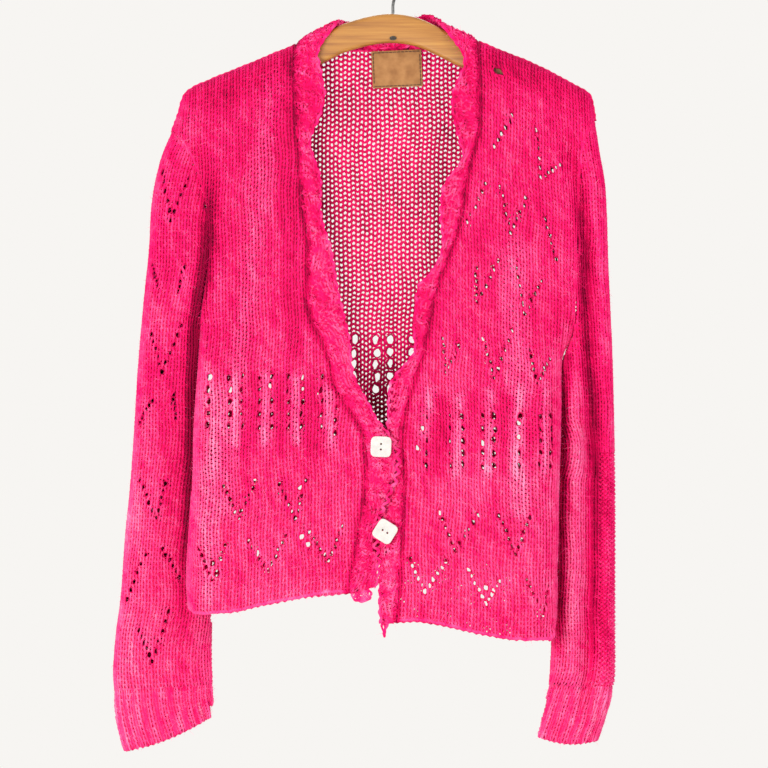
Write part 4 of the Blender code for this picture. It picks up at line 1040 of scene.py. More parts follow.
def yarn_material(name, stops, fuzz):
    """Brushed mohair-blend yarn: matt, with faint sheen and a bump of fine fibres; its colour is read from
    the tone attribute, which holds painted light on what stands out and painted shade in the creases.
    """
    material, tree, shader = new_material(name)
    place = add(tree, "ShaderNodeTexCoord").outputs["Object"]
    tone = add(tree, "ShaderNodeAttribute", {"attribute_name": "tone"}).outputs["Fac"]
    strands = add(tree, "ShaderNodeTexNoise", {"Scale": 1100.0, "Detail": 3.0, "Roughness": 0.7},
                  {"Vector": place})
    flecks = add(tree, "ShaderNodeMapRange", {"To Min": -0.16, "To Max": 0.16, "clamp": False},
                 {"Value": strands.outputs["Fac"]})
    shade = add(tree, "ShaderNodeMath", {"operation": "ADD"}, {0: tone, 1: flecks.outputs[0]})
    colour = colour_ramp(tree, shade.outputs[0], stops)
    tree.links.new(colour, shader.inputs["Base Color"])
    fibres = add(tree, "ShaderNodeTexNoise", {"Scale": 2200.0, "Detail": 2.0}, {"Vector": place})
    bump = add(tree, "ShaderNodeBump", {"Strength": fuzz, "Distance": 0.0004},
               {"Height": fibres.outputs["Fac"]})
    tree.links.new(bump.outputs["Normal"], shader.inputs["Normal"])
    shader.inputs["Roughness"].default_value = 0.9
    shader.inputs["Specular IOR Level"].default_value = 0.06
    shader.inputs["Sheen Weight"].default_value = 0.2
    shader.inputs["Sheen Roughness"].default_value = 0.5
    shader.inputs["Sheen Tint"].default_value = linear("#FF6FAE")
    return material


def wood_material():
    """Varnished beech: honey brown, grain lines along the hanger every 2 to 4 mm, satin coat."""
    material, tree, shader = new_material("varnished beech wood")
    place = add(tree, "ShaderNodeTexCoord").outputs["Object"]
    stretched = add(tree, "ShaderNodeMapping", {"Scale": (9.0, 160.0, 300.0)}, {"Vector": place})
    grain = add(tree, "ShaderNodeTexNoise", {"Scale": 1.0, "Detail": 5.0, "Roughness": 0.62},
                {"Vector": stretched.outputs[0]})
    colour = colour_ramp(tree, grain.outputs["Fac"], ((0.3, "#8A541A"), (0.5, "#A66E27"), (0.72, "#BA8538")))
    tree.links.new(colour, shader.inputs["Base Color"])
    bump = add(tree, "ShaderNodeBump", {"Strength": 0.15, "Distance": 0.0003},
               {"Height": grain.outputs["Fac"]})
    tree.links.new(bump.outputs["Normal"], shader.inputs["Normal"])
    shader.inputs["Roughness"].default_value = 0.42
    shader.inputs["Coat Weight"].default_value = 0.35
    shader.inputs["Coat Roughness"].default_value = 0.25
    return material


def wire_material():
    """Zinc plated steel wire: grey, half bright, faint drawing marks."""
    material, tree, shader = new_material("zinc plated steel wire")
    place = add(tree, "ShaderNodeTexCoord").outputs["Object"]
    marks = add(tree, "ShaderNodeTexNoise", {"Scale": 700.0, "Detail": 3.0}, {"Vector": place})
    colour = colour_ramp(tree, marks.outputs["Fac"], ((0.3, "#4E4E4D"), (0.7, "#7C7C7B")))
    tree.links.new(colour, shader.inputs["Base Color"])
    rough = add(tree, "ShaderNodeMapRange", {"To Min": 0.25, "To Max": 0.42}, {"Value": marks.outputs["Fac"]})
    tree.links.new(rough.outputs[0], shader.inputs["Roughness"])
    shader.inputs["Metallic"].default_value = 1.0
    return material


def nail_material():
    """Blackened steel, where the hook's end is riveted in the wood."""
    material, tree, shader = new_material("blackened steel rivet")
    place = add(tree, "ShaderNodeTexCoord").outputs["Object"]
    marks = add(tree, "ShaderNodeTexNoise", {"Scale": 900.0, "Detail": 2.0}, {"Vector": place})
    colour = colour_ramp(tree, marks.outputs["Fac"], ((0.35, "#2B2622"), (0.65, "#57504A")))
    tree.links.new(colour, shader.inputs["Base Color"])
    shader.inputs["Metallic"].default_value = 0.8
    shader.inputs["Roughness"].default_value = 0.45
    return material


def resin_material():
    """Moulded polyester resin: ivory, semi-gloss, very faintly clouded."""
    material, tree, shader = new_material("ivory polyester resin")
    place = add(tree, "ShaderNodeTexCoord").outputs["Object"]
    cloud = add(tree, "ShaderNodeTexNoise", {"Scale": 160.0, "Detail": 3.0}, {"Vector": place})
    colour = colour_ramp(tree, cloud.outputs["Fac"], ((0.3, "#C0BCB8"), (0.7, "#CFCBC7")))
    tree.links.new(colour, shader.inputs["Base Color"])
    shader.inputs["Roughness"].default_value = 0.28
    shader.inputs["Coat Weight"].default_value = 0.3
    shader.inputs["Subsurface Weight"].default_value = 0.1
    shader.inputs["Subsurface Scale"].default_value = 0.002
    return material


def tape_material():
    """Woven polyester label tape: tan, fine cross threads about every 0.6 mm."""
    material, tree, shader = new_material("woven label tape")
    place = add(tree, "ShaderNodeTexCoord").outputs["Object"]
    weave = {"wave_type": "BANDS", "bands_direction": "Z", "Scale": 520.0, "Distortion": 1.2, "Detail": 1.0}
    threads = add(tree, "ShaderNodeTexWave", weave, {"Vector": place})
    cloud = add(tree, "ShaderNodeTexNoise", {"Scale": 120.0, "Detail": 4.0}, {"Vector": place})
    shade = add(tree, "ShaderNodeMath", {"operation": "MULTIPLY", 1: 0.7}, {0: cloud.outputs["Fac"]})
    mixed = add(tree, "ShaderNodeMath", {"operation": "MULTIPLY_ADD", 1: 0.35},
                {0: threads.outputs["Fac"], 2: shade.outputs[0]})
    colour = colour_ramp(tree, mixed.outputs[0], ((0.25, "#7C4C22"), (0.5, "#9C6A38"), (0.8, "#B68450")))
    tree.links.new(colour, shader.inputs["Base Color"])
    bump = add(tree, "ShaderNodeBump", {"Strength": 0.4, "Distance": 0.0003},
               {"Height": threads.outputs["Fac"]})
    tree.links.new(bump.outputs["Normal"], shader.inputs["Normal"])
    shader.inputs["Roughness"].default_value = 0.75
    shader.inputs["Sheen Weight"].default_value = 0.2
    return material


def thread_material():
    """Spun polyester sewing thread: dark brown, faintly uneven, a little sheen."""
    material, tree, shader = new_material("brown sewing thread")
    place = add(tree, "ShaderNodeTexCoord").outputs["Object"]
    twist = add(tree, "ShaderNodeTexNoise", {"Scale": 1500.0, "Detail": 2.0}, {"Vector": place})
    colour = colour_ramp(tree, twist.outputs["Fac"], ((0.3, "#3A2010"), (0.7, "#5E3A1E")))
    tree.links.new(colour, shader.inputs["Base Color"])
    shader.inputs["Roughness"].default_value = 0.6
    shader.inputs["Sheen Weight"].default_value = 0.2
    return material


def floor_material():
    """Painted studio floor: pale, matt and even, so that it takes nothing from the garment."""
    material, _, shader = new_material("pale floor")
    shader.inputs["Base Color"].default_value = linear("#ECEAE6")
    shader.inputs["Roughness"].default_value = 0.9
    return material


YARN_STOPS = ((0.0, "#940034"), (0.25, "#D20452"), (0.5, "#F31A70"), (0.75, "#FA5493"), (1.0, "#FC8FB8"))
FELT_STOPS = ((0.0, "#8C0032"), (0.3, "#CE0650"), (0.5, "#EC1464"), (1.0, "#F6588F"))
KNIT = yarn_material("brushed mohair blend yarn", YARN_STOPS, 0.5)
CROCHET = yarn_material("brushed mohair crochet edging", YARN_STOPS, 0.7)
FELT = yarn_material("matted mohair fibres", FELT_STOPS, 0.8)
WOOD = wood_material()
WIRE = wire_material()
NAIL = nail_material()
RESIN = resin_material()
TAPE = tape_material()
THREAD = thread_material()


# Outlines of the pieces

EDGE_STEP = 8.0
shoulder_left, armhole_left, side_left, hem_left = (
    curve_through(rows, EDGE_STEP) for rows in (SHOULDER_LEFT, ARMHOLE_LEFT, SIDE_LEFT, HEM_LEFT))
shoulder_right, armhole_right, side_right, hem_right = (
    curve_through(rows, EDGE_STEP) for rows in (SHOULDER_RIGHT, ARMHOLE_RIGHT, SIDE_RIGHT, HEM_RIGHT))
hem_back = curve_through(HEM_BACK, EDGE_STEP)
SEAM_LINES = (ROWS_LEFT[:-1, :2], ROWS_RIGHT[:-1, :2])

LOOP_FRONT_LEFT = closed_loop(shoulder_left, armhole_left, side_left, hem_left, SEAM_LINES[0][::-1])
LOOP_FRONT_RIGHT = closed_loop(shoulder_right, armhole_right, side_right, hem_right, SEAM_LINES[1][::-1])
LOOP_BACK = closed_loop(
    ROWS_NECK[:, :2][::-1], shoulder_left, armhole_left, side_left, hem_back,
    side_right[::-1], armhole_right[::-1], shoulder_right[::-1],
)
# What the two free edges leave open in front
LOOP_NECK = np.vstack([
    rows[rows[:, 3] > NECK_POINT_Z, 2:][::step] for rows, step in ((ROWS_LEFT, 1), (ROWS_RIGHT, -1))])
# The outer edges of a panel, from its shoulder to its hem
EDGE_LEFT = np.vstack([shoulder_left, armhole_left[1:], side_left[1:]])
EDGE_RIGHT = np.vstack([shoulder_right, armhole_right[1:], side_right[1:]])
# Panel stitches go on a little way under the edging
UNDER_BAND = 4.0
# The back is made as two pieces, above and below this height
BACK_SPLIT_Z = -370.0
# Each panel: the x that its courses are counted along, and from where to where they reach
FRONT_LEFT_REACH, FRONT_RIGHT_REACH, BACK_REACH = (-130, (-226, -20)), (110, (-12, 206)), (-10, (-226, 206))
# Where loose fibres may grow: points, normals and tones of the yarn
fuzz_roots = []

# What the first and last course of each panel follow, carried on past its sides
TOP_LEFT = ((-260, -163), (-202, -137), (-143, -112), (-97, -93), (-57, -68.5), (20, -30))
TOP_RIGHT = ((-20, -30), (49, -70.5), (85, -90), (142, -113), (194, -141), (250, -170))
TOP_BACK = (
    (-260, -163), (-202, -137), (-143, -112), (-97, -93), (85, -90), (142, -113), (194, -141), (250, -170),
)
BOTTOM_LEFT = (
    (-260, -650), (-205, -657), (-195, -661), (-159, -660), (-129, -653), (-86, -645), (-46, -641),
    (20, -640),
)
BOTTOM_RIGHT = (
    (-20, -671), (4, -670), (25, -669), (49, -673), (87, -682), (123, -688), (156, -687), (250, -680),
)
BOTTOM_BACK = (
    (-260, -668), (-205, -657), (-165, -645), (-123, -634), (-60, -618), (0, -611), (60, -611), (107, -616),
    (135, -640), (162, -677), (250, -720),
)


def knitted(name, nodes, cloth, stitch, keep, radius, holes=(), front_only=False, omit=None, parts=None,
            material=None, sink=YARN_SINK, slot="brushed_knit", tone=0.0, felt_painted_light=0.0, **looks):
    """The yarn of one piece and the matted fibres behind it."""
    wales, widths = wales_between(cloth.ends[:, 0].min(), cloth.ends[:, 1].max(), stitch)
    knit = Knit(cloth, wales, widths, keep, holes, front_only)
    points, normals, radii, tones, join = knit.yarn(radius, sink, **looks)
    fuzz_roots.append((points[join], normals[join], tones[join] + tone))
    made = []
    for k, part in enumerate(parts or [None]):
        chosen = join if part is None else join & part(points)
        suffix = "_stitches" if part is None else f"_stitches_{k}"
        rings, faces = tubes(points, normals, radii, chosen, YARN_SIDES)
        used = np.zeros(len(rings), bool)
        used[faces] = True
        order = np.cumsum(used) - 1
        shades = np.repeat(tones + tone, YARN_SIDES)[used]
        made.append(mesh_piece(name + suffix, rings[used], order[faces], material or KNIT, slot, shades))
    surface, faces, shades = knit.ground(sink + FELT_DEPTH, omit)
    felt = mesh_piece(name + "_felt", surface, faces, FELT, slot, shades + felt_painted_light)
    for thing in (felt, *made):
        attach(thing, "root")
        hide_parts(*nodes)


def everywhere(places, u):
    return np.ones(len(u), bool)


def edge_cord(name, places, side, lap):
    """A cast-on or bound-off edge: a chain of yarn along the cloth's end."""
    line = curve_through(places, EDGE_CORD_STEP)
    line = line + EDGE_WAVER * np.column_stack([PATCHY(line), FLECKED(line)]) + (0, 0.5 * EDGE_YARN)
    points, normals = BODY.outer(line, side, lap)
    points = points - EDGE_YARN * normals
    ripple, pitch = EDGE_RIPPLE
    rings, faces = cord_line(points, EDGE_YARN, sides=CORD_SIDES, ripple=ripple, pitch=pitch)
    tones = np.repeat(tone_with_painted_shading(line, normals, BODY_PAINTED_SHADING) + EDGE_TONE, CORD_SIDES)
    thing = mesh_piece(name, rings, faces, CROCHET, "brushed_knit", tones)
    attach(thing, "root")
    return thing


def build_shoulder_seams():
    """The sewn seam along the top of each shoulder, a thick chain of the same yarn."""
    for name, rows in (("left", SHOULDER_LEFT), ("right", SHOULDER_RIGHT)):
        line = curve_through(rows, SEAM_STEP)
        line[:, 1] -= SEAM_DROP
        points, normals = BODY.outer(line, -1)
        points[:, 1] = 0
        out, up = SEAM_WAVER
        wave = np.column_stack([np.zeros(len(line)), out * FLECKED(line), up * PATCHY(line)])
        rings, faces = cord_line(points + wave, SEAM_YARN, (0, 0, 1), SEAM_SIDES, SEAM_RIPPLE, FRONT_STITCH)
        tones = np.repeat(tone_with_painted_shading(line, normals, BODY_PAINTED_SHADING), SEAM_SIDES)
        thing = mesh_piece("shoulder_seam_" + name, rings, faces, KNIT, "brushed_knit", tones)
        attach(thing, "root")


def eyelet_holes(table, small=False, wide=()):
    """Eyelets of uneven size, apart from those that a wide eyelet takes the place of."""
    size = (SMALL_EYELET_WIDTH, SMALL_EYELET_HEIGHT, SMALL_EYELETS_PER_ARM) if small else (
        EYELET_WIDTH, EYELET_HEIGHT, EYELETS_PER_ARM)
    found = []
    for x, z, a, b in eyelets(table, *size):
        if all(math.hypot(x - wx, z - wz) > WIDE_CLEAR for wx, wz, _, _ in wide):
            scale = rng.uniform(*EYELET_SIZES)
            found.append((x, z, a * scale, b * scale))
    return found


def ladder_holes(table):
    """The gaps of the ladders, uneven as the dropped stitches are."""
    found = []
    for x, top, gaps, width, height in table:
        for k in range(gaps):
            z = top - FIRST_GAP_DROP - k * LADDER_PITCH
            place = x + rng.normal(0, GAP_SPREAD[0]), z + rng.normal(0, GAP_SPREAD[1])
            halves = width / 2 * rng.uniform(*GAP_WIDTHS), height / 2 * rng.uniform(*GAP_HEIGHTS)
            found.append((*place, *halves))
    return found


def ridge_lift(u, v, places):
    return along_lines(places, RIDGES)


def build_fronts():
    left = panel_cloth(-1, "left", TOP_LEFT, BOTTOM_LEFT, *FRONT_LEFT_REACH, FRONT_COURSE, left=EDGE_LEFT)
    right = panel_cloth(-1, "right", TOP_RIGHT, BOTTOM_RIGHT, *FRONT_RIGHT_REACH, FRONT_COURSE,
                        right=EDGE_RIGHT)

    def on_left(places, u):
        return inside(places, LOOP_FRONT_LEFT) | (nearest(places, SEAM_LINES[:1])[0] < UNDER_BAND)

    def on_right(places, u):
        return inside(places, LOOP_FRONT_RIGHT) | (nearest(places, SEAM_LINES[1:])[0] < UNDER_BAND)

    def thin(places):
        below = places[:, 1] < np.interp(places[:, 0], *np.array(BOTTOM_BACK, float).T) + BARE_RISE
        return below & (places[:, 0] < BARE_X) & (rng.uniform(0, 1, len(places)) < BARE_CHANCE)

    def ladders_clear_of(wide, table):
        return [hole for hole in ladder_holes(table) if all(
            math.hypot(hole[0] - x, hole[1] - z) > WIDE_CLEAR_LADDER for x, z, _, _ in wide)]

    def halves(wide):
        return [(x, z, width / 2, height / 2) for x, z, width, height in wide]

    holes = ladders_clear_of(WIDE_EYELETS_LEFT, LADDERS_LEFT)
    holes += eyelet_holes(CHEVRONS_LEFT, wide=WIDE_EYELETS_LEFT) + halves(WIDE_EYELETS_LEFT)
    knitted("front_left", ["front_left"], left, FRONT_STITCH, on_left, FRONT_YARN, holes, lift_of=ridge_lift)

    holes = ladders_clear_of(WIDE_EYELETS_RIGHT, LADDERS_RIGHT)
    holes += eyelet_holes(CHEVRONS_RIGHT, wide=WIDE_EYELETS_RIGHT) + eyelet_holes(FINE_CHEVRONS_RIGHT, True)
    holes += eyelet_holes(OPEN_CHEVRONS_RIGHT) + halves((*WIDE_EYELETS_RIGHT, WORN_HOLE))
    knitted("front_right", ["front_right"], right, FRONT_STITCH, on_right, FRONT_YARN, holes, omit=thin,
            lift_of=ridge_lift)
    edge_cord("hem_edge_left", HEM_LEFT, -1, "left")
    edge_cord("hem_edge_right", HEM_RIGHT, -1, "right")


def build_back():
    cloth = panel_cloth(1, None, TOP_BACK, BOTTOM_BACK, *BACK_REACH, BACK_COURSE, EDGE_LEFT, EDGE_RIGHT)
    table = []
    for k in BACK_LADDER_PAIRS:
        for half in (-0.5, 0.5):
            x = BACK_LADDER_MIDDLE + k * BACK_LADDER_REPEAT + half * BACK_LADDER_PAIR
            if SIDE_LEFT[1][0] + SIDE_MARGIN < x < SIDE_RIGHT[3][0] - SIDE_MARGIN:
                table.append((x, BACK_LADDER_TOP, BACK_LADDER_GAPS, *BACK_LADDER_GAP))
    holes = ladder_holes(table)
    holes += [(x, z, *BEHIND_WIDE) for x, z, _, _ in (*WIDE_EYELETS_LEFT, *WIDE_EYELETS_RIGHT)
              if z < BEHIND_WIDE_Z and x > BEHIND_WIDE_X]

    def on_back(places, u):
        return inside(places, LOOP_BACK)

    def inner(places):
        sign = np.where(inside(places, LOOP_NECK), -1, 1)
        return sign * nearest(places, [LOOP_NECK])[0]

    def places_of(table, per_arm):
        return [(x, z) for x, z, _, _ in eyelets(table, 1, 1, per_arm)]

    holes += eyelets(OPEN_CHEVRONS_RIGHT, *BEHIND_OPEN_CHEVRON, EYELETS_PER_ARM)
    large = CHEVRONS_LEFT + CHEVRONS_RIGHT
    spots = places_of(FINE_CHEVRONS_RIGHT, SMALL_EYELETS_PER_ARM)
    spots += [place for place in places_of(large, EYELETS_PER_ARM) if rng.uniform() < THIN_CHANCE]
    netted = spots + places_of(large + OPEN_CHEVRONS_RIGHT, EYELETS_PER_ARM)
    netted += [(x, z) for x, z, _, _ in ladder_holes(LADDERS_LEFT + LADDERS_RIGHT)]

    def shows(places):
        """Where nothing is matted behind the net: in the neck and behind the openwork of the fronts."""
        bare = inner(places) < NET_EDGE_MARGIN
        for x, z in netted:
            bare |= np.hypot(places[:, 0] - x, places[:, 1] - z) < NETTED_REACH
        return bare

    def radius(places):
        wide = NET_YARN + (BACK_YARN - NET_YARN) * smooth((inner(places) - THICKEN_START) / THICKEN_REACH)
        wide = wide + POINT_YARN * np.exp(-(((places[:, 1] - POINT_Z) / POINT_REACH) ** 2))
        for x, z in spots:
            wide = np.where(np.hypot(places[:, 0] - x, places[:, 1] - z) < THIN_REACH, THIN_YARN, wide)
        return wide

    def upper(points):
        return points[:, 2] > BACK_SPLIT_Z

    def lower(points):
        return points[:, 2] <= BACK_SPLIT_Z

    # The back's felt is painted lighter, for the light that comes in through the open net, so that the holes
    # of the fronts show crimson and not black
    knitted("back", ["back"], cloth, BACK_STITCH, on_back, radius, holes, omit=shows,
            parts=(upper, lower), shape=NET_STITCH, mess=0.7, tone=-0.16, felt_painted_light=0.3)
    edge_cord("hem_edge_back", HEM_BACK, 1, None)
    build_shoulder_seams()


def build_sleeves():
    for side, layer, armhole, inner, outer, holes in (
        ("left", SLEEVE_LEFT, ARMHOLE_LEFT, INNER_LEFT, OUTER_LEFT, FINE_CHEVRONS_SLEEVE),
        ("right", SLEEVE_RIGHT, ARMHOLE_RIGHT, INNER_RIGHT, OUTER_RIGHT, ()),
    ):
        cloth = tube_cloth(layer, armhole + inner[1:], outer, SLEEVE_COURSE)
        cloth.marks = SLEEVE_PAINTED_SHADING

        def turned(wales, v):
            """Where the right sleeve has rolled round, so that its purl side is out."""
            low = v * SLEEVE_COURSE < PURL_HEIGHT
            return (abs(wales) < PURL_HALF_WIDTH) & low & (side == "right")

        nodes = [f"sleeve_{side}_front", f"sleeve_{side}_back"]
        knitted("sleeve_" + side, nodes, cloth, SLEEVE_STITCH, everywhere, SLEEVE_YARN,
                eyelet_holes(holes, True), front_only=True, purl_of=turned)


def build_cuffs():
    for name, layer, inner, outer, drop in (
        ("cuff_left", SLEEVE_LEFT, CUFF_INNER_LEFT, CUFF_OUTER_LEFT, CUFF_DROP_LEFT),
        ("cuff_right", SLEEVE_RIGHT, CUFF_INNER_RIGHT, CUFF_OUTER_RIGHT, CUFF_DROP_RIGHT),
    ):
        cloth = tube_cloth(layer, inner, outer, CUFF_COURSE, drop)
        cloth.marks = SLEEVE_PAINTED_SHADING
        drift, strength = waves(RIB_DRIFT_SIZE), waves(RIB_UNEVEN_SIZE)

        def rib(u, v, places):
            rise = CUFF_RISE * (RIB_EVEN + RIB_UNEVEN * strength(places))
            rise = rise * smooth((len(cloth.grid) - v) / RIB_FADE)
            turn = 2 * math.pi * (u + RIB_DRIFT * drift(places)) / CUFF_RIB
            return rise * np.tanh(RIB_SQUARE * np.cos(turn)) - RIB_SINK

        knitted(name, [name], cloth, CUFF_STITCH, everywhere, CUFF_YARN, lift_of=rib, tone=0.04)


def build_bands():
    for name, rows, side, lap in (
        ("band_left", ROWS_LEFT, -1, "left"),
        ("band_right", ROWS_RIGHT, -1, "right"),
        ("band_neck", ROWS_NECK, 1, None),
    ):
        cloth = band_cloth(rows, side, lap, BAND_COURSE)
        lumps, swell = waves(LUMPS[1]), waves(SWELL[1])

        def pucker(u, v, places):
            spots = np.column_stack([u, v * BAND_COURSE])
            return LUMPS[0] * lumps(spots) + SWELL[0] * swell(spots) - PUCKER_SINK

        def crossed(wales, v):
            return rng.uniform(0, 1, len(wales)) < CROSSED

        knitted(name, [name], cloth, BAND_STITCH, everywhere, BAND_YARN, lift_of=pucker, material=CROCHET,
                sink=0.7, slot="crochet_edging", tone=0.08, mess=2.6, purl_of=crossed)


def edging_cord(name, places, radii, lap="left"):
    """One crocheted cord laid on the cloth along a line of places."""
    points, normals = BODY.outer(places, -1, lap)
    points = points - EDGING_SINK * normals
    join = np.append(np.ones(len(points) - 1, bool), False)
    rings, faces = tubes(points, normals, np.broadcast_to(radii, len(points)), join, CORD_SIDES)
    tones = tone_with_painted_shading(places, normals) + EDGING_TONE + EDGING_FLECK * FLECKED(places)
    fuzz_roots.append((points, normals, tones))
    thing = mesh_piece(name, rings, faces, CROCHET, "crochet_edging", np.repeat(tones, CORD_SIDES))
    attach(thing, "root")


def build_edging():
    """The chain of loops along each free edge, the round lobe on the left and the drawn tip on the right."""
    for lap, rows in (("left", ROWS_LEFT), ("right", ROWS_RIGHT)):
        line = curve_through(rows[:-1], EDGING_STEP)
        out = line[:, 2:] - line[:, :2]
        out /= np.linalg.norm(out, axis=1)[:, None]
        along = np.append(0, np.cumsum(np.linalg.norm(np.diff(line[:, 2:], axis=0), axis=1)))
        reach = np.interp(-line[:, 3], *np.array(LOOP_REACH, float).T)
        reach = reach * (1 + LOOP_UNEVEN * FLECKED(line[:, 2:]))
        swing = reach * (LOOP_SWING[0] - LOOP_SWING[1] * np.cos(2 * math.pi * along / LOOP_PITCH))
        radii = LOOP_YARN * (1 + LOOP_RIPPLE * np.sin(2 * math.pi * along / LOOP_RIPPLE_PITCH))
        edging_cord("edging_loops_" + lap, line[:, 2:] + (swing - LOOP_INSET)[:, None] * out, radii, lap)
    x, z, half_width, half_height, turns = LOBE
    angle = np.linspace(0, 2 * math.pi * turns, LOBE_POINTS)
    spiral = LOBE_CORE + (1 - LOBE_CORE) * angle / angle[-1] + LOBE_WAVER[0] * np.sin(LOBE_WAVER[1] * angle)
    turning = np.column_stack([half_width * np.cos(angle), half_height * np.sin(angle)])
    radii = LOBE_YARN * (1 + LOBE_RIPPLE[0] * np.sin(LOBE_RIPPLE[1] * angle))
    edging_cord("edging_lobe", (x, z) + spiral[:, None] * turning, radii)
    t = np.linspace(0, 1, TIP_POINTS)
    for k, (start, radius) in enumerate(zip(TIP_STARTS, TIP_YARN)):
        aside = (TIP_END[0] - start) * smooth(t) + TIP_WAVER[0] * np.sin(TIP_WAVER[1] * t + 2 * k)
        down = (TIP_END[1] - TIP_TOP + TIP_SHORTER * (k % 2)) * t
        radii = radius * (1 - TIP_TAPER * t) * (1 + TIP_RIPPLE[0] * np.sin(TIP_RIPPLE[1] * t))
        edging_cord(f"edging_tip_{k}", np.column_stack([start + aside, TIP_TOP + down]), radii, "right")


def build_fuzz():
    """Loose mohair fibres standing off the yarn, each a fine ribbon of two steps."""
    points = np.vstack([rows[0] for rows in fuzz_roots])
    normals = np.vstack([rows[1] for rows in fuzz_roots])
    tones = np.concatenate([rows[2] for rows in fuzz_roots])
    pick = rng.choice(len(points), FIBRES, replace=False)
    root, out, tone = points[pick], normals[pick], tones[pick]
    aside = rng.normal(0, 1, (FIBRES, 3))
    aside -= (aside * out).sum(1)[:, None] * out
    aside /= np.linalg.norm(aside, axis=1)[:, None]
    droop = np.array(FIBRE_DROOP)
    length = rng.uniform(*FIBRE_LENGTH, FIBRES)[:, None]
    width = rng.uniform(*FIBRE_WIDTH, FIBRES)[:, None]
    base = root + FIBRE_START * out
    sideways, outward, downward = FIBRE_MIDDLE
    middle = base + length * (sideways * aside + outward * out + downward * droop)
    sideways, downward = FIBRE_TIP
    outward = rng.uniform(*FIBRE_TIP_OUT, (FIBRES, 1))
    tip = base + length * (sideways * aside + outward * out + downward * droop)
    across = np.cross(aside, out) * width
    middle_across, tip_across = (across * share for share in FIBRE_TAPER)
    ribbon = np.stack([base - across, base + across, middle + middle_across, middle - middle_across,
                       tip + tip_across, tip - tip_across], axis=1)
    start = np.arange(FIBRES)[:, None] * 6
    faces = np.vstack([start + (0, 1, 2, 3), start + (3, 2, 4, 5)])
    tones = np.repeat(tone + FIBRE_PAINTED_SHEEN, 6)
    thing = mesh_piece("loose_fibres", ribbon.reshape(-1, 3), faces, KNIT, "brushed_knit", tones)
    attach(thing, "root")


def build_hanger():
    """The hanger with a finer sweep of the same section."""
    rows = curve_through(HANGER_TOP, HANGER_STEP)
    half, around, points = HANGER_THICKNESS / 2, 4 * CORNER_POINTS, []
    for x, top, height in rows:
        corner = min(HANGER_ROUND, height * END_ROUND)
        for cy, cz, start in ((1, 1, 0), (-1, 1, 90), (-1, -1, 180), (1, -1, 270)):
            for turn in np.linspace(0, 90, CORNER_POINTS):
                angle = math.radians(start + turn)
                points.append((x, cy * (half - corner) + corner * math.cos(angle),
                               top - height / 2 + cz * (height / 2 - corner) + corner * math.sin(angle)))
    faces = []
    for row in range(len(rows) - 1):
        for k in range(around):
            a, b = row * around + k, row * around + (k + 1) % around
            faces.append((a, b, b + around, a + around))
    last = (len(rows) - 1) * around
    for k in range(1, around // 2 - 1):
        faces.append((around - k, around - k - 1, k + 1, k))
        faces.append((last + k, last + k + 1, last + around - k - 1, last + around - k))
    thing = mesh_piece("hanger_curved_wood", points, faces, WOOD, "varnished_wood")
    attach(thing, "root")
    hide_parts("hanger_wood")


def build_buttons():
    """The buttons of the solids with their edges rounded, as moulding leaves them."""
    for node in ("button_upper", "button_lower"):
        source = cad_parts[node]
        thing = bpy.data.objects.new(node + "_moulded", source.data.copy())
        thing.data.materials.clear()
        thing.data.materials.append(RESIN)
        bpy.context.scene.collection.objects.link(thing)
        merge = thing.modifiers.new("merge", "WELD")
        merge.merge_threshold = BUTTON_MERGE
        edge = thing.modifiers.new("soft edge", "BEVEL")
        edge.width = BUTTON_ROUND
        edge.segments = 3
        edge.limit_method = "ANGLE"
        edge.angle_limit = math.radians(50)
        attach(thing, "root")
        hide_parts(node)


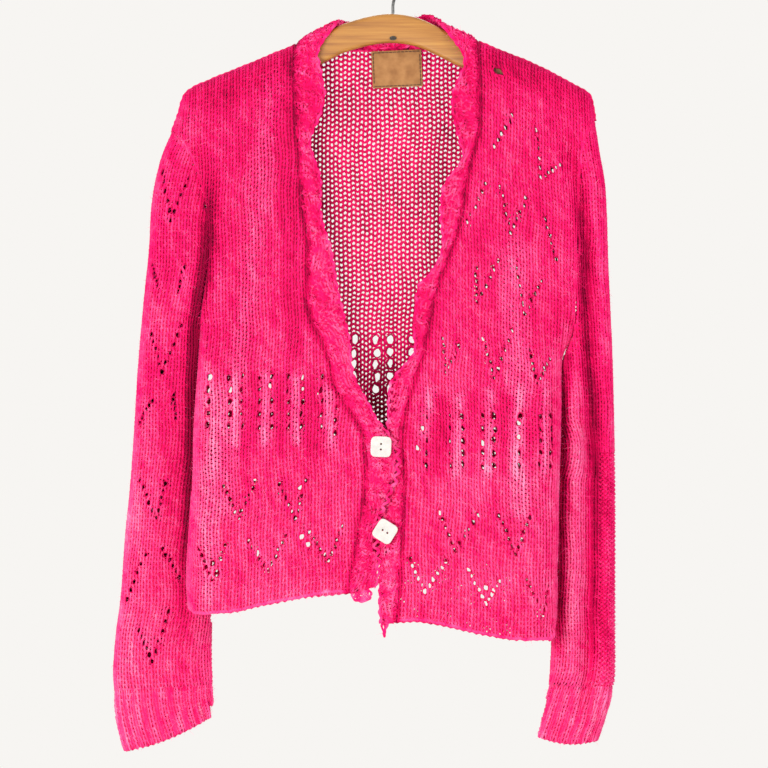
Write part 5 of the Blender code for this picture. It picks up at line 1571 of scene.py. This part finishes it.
def build_label():
    """The woven label, sewn on all round with thread."""
    x, z, width, height, turn = LABEL
    front_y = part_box("label")[0][1] / MM
    c, s = math.cos(math.radians(-turn)), math.sin(math.radians(-turn))

    def place(a, b):
        return x + c * a + s * b, z - s * a + c * b

    points, faces = [], []
    for j in range(LABEL_ROWS + 1):
        for i in range(LABEL_COLUMNS + 1):
            a, b = (i / LABEL_COLUMNS - 0.5) * width, (j / LABEL_ROWS - 0.5) * height
            px, pz = place(a, b)
            points.append((px, front_y + 0.35 * math.sin(a / 7) * math.cos(b / 9) - 0.1, pz))
    for j in range(LABEL_ROWS):
        for i in range(LABEL_COLUMNS):
            k = j * (LABEL_COLUMNS + 1) + i
            faces.append((k, k + 1, k + LABEL_COLUMNS + 2, k + LABEL_COLUMNS + 1))
    thing = mesh_piece("label_tape", points, faces, TAPE, "woven_tape")
    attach(thing, "root")
    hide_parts("label")
    parts = []
    across, up = width / 2 - SEWING_INSET, height / 2 - SEWING_INSET
    corners = [(-across, -up), (across, -up), (across, up), (-across, up)]
    for (a0, b0), (a1, b1) in zip(corners, corners[1:] + corners[:1]):
        length = math.hypot(a1 - a0, b1 - b0)
        for start in np.arange(0, length - SEWING_STITCH, SEWING_STITCH + SEWING_GAP):
            line = []
            for t, y in SEWING_PATH:
                share = (start + t * SEWING_STITCH) / length
                px, pz = place(a0 + share * (a1 - a0), b0 + share * (b1 - b0))
                line.append((px, front_y + y - 0.35, pz))
            parts.append(cord_line(line, SEWING_THREAD, sides=5))
    thread = mesh_piece("label_thread", *joined(parts), THREAD, "woven_tape")
    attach(thread, "root")


def light(name, place, target, energy, size, colour):
    """An area light that faces its target."""
    data = bpy.data.lights.new(name, "AREA")
    data.energy = energy
    data.color = linear(colour)[:3]
    data.size = size
    lamp = bpy.data.objects.new(name, data)
    lamp.location = place
    lamp.rotation_euler = (Vector(target) - Vector(place)).to_track_quat("-Z", "Y").to_euler()
    bpy.context.scene.collection.objects.link(lamp)


def build_studio():
    floor = bpy.data.meshes.new("floor")
    h, z = FLOOR_HALF * MM, FLOOR_Z * MM
    behind = h * FLOOR_BEHIND
    floor.from_pydata([(-h, -h, z), (h, -h, z), (h, behind, z), (-h, behind, z)], [], [(0, 1, 2, 3)])
    floor.materials.append(floor_material())
    ground = bpy.data.objects.new("floor", floor)
    bpy.context.scene.collection.objects.link(ground)
    world = bpy.data.worlds.new("studio")
    world.use_nodes = True
    background = world.node_tree.nodes["Background"]
    background.inputs["Color"].default_value = linear("#F7F5F2")
    background.inputs["Strength"].default_value = 1.0
    bpy.context.scene.world = world
    middle = (VIEW_X * MM, 0, VIEW_Z * MM)
    for name, place, energy, size, colour in LIGHTS:
        light(name, place, middle, energy, size, colour)
    camera = bpy.data.cameras.new("camera")
    camera.sensor_width = SENSOR
    camera.lens = SENSOR * (VIEW_DISTANCE - VIEW_PLANE) / VIEW_WIDTH
    camera.clip_end = CLIP_END
    eye = bpy.data.objects.new("camera", camera)
    eye.location = (VIEW_X * MM, -VIEW_DISTANCE * MM, VIEW_Z * MM)
    eye.rotation_euler = (math.pi / 2, 0, 0)
    bpy.context.scene.collection.objects.link(eye)
    bpy.context.scene.camera = eye
    bpy.context.scene.view_settings.view_transform = "Standard"


build_studio()
build_fronts()
build_back()
build_sleeves()
build_cuffs()
build_bands()
build_edging()
build_fuzz()
build_hanger()
build_buttons()
build_label()
for node, material in (("hanger_hook", WIRE), ("hanger_nail", NAIL)):
    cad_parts[node].data.materials.clear()
    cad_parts[node].data.materials.append(material)
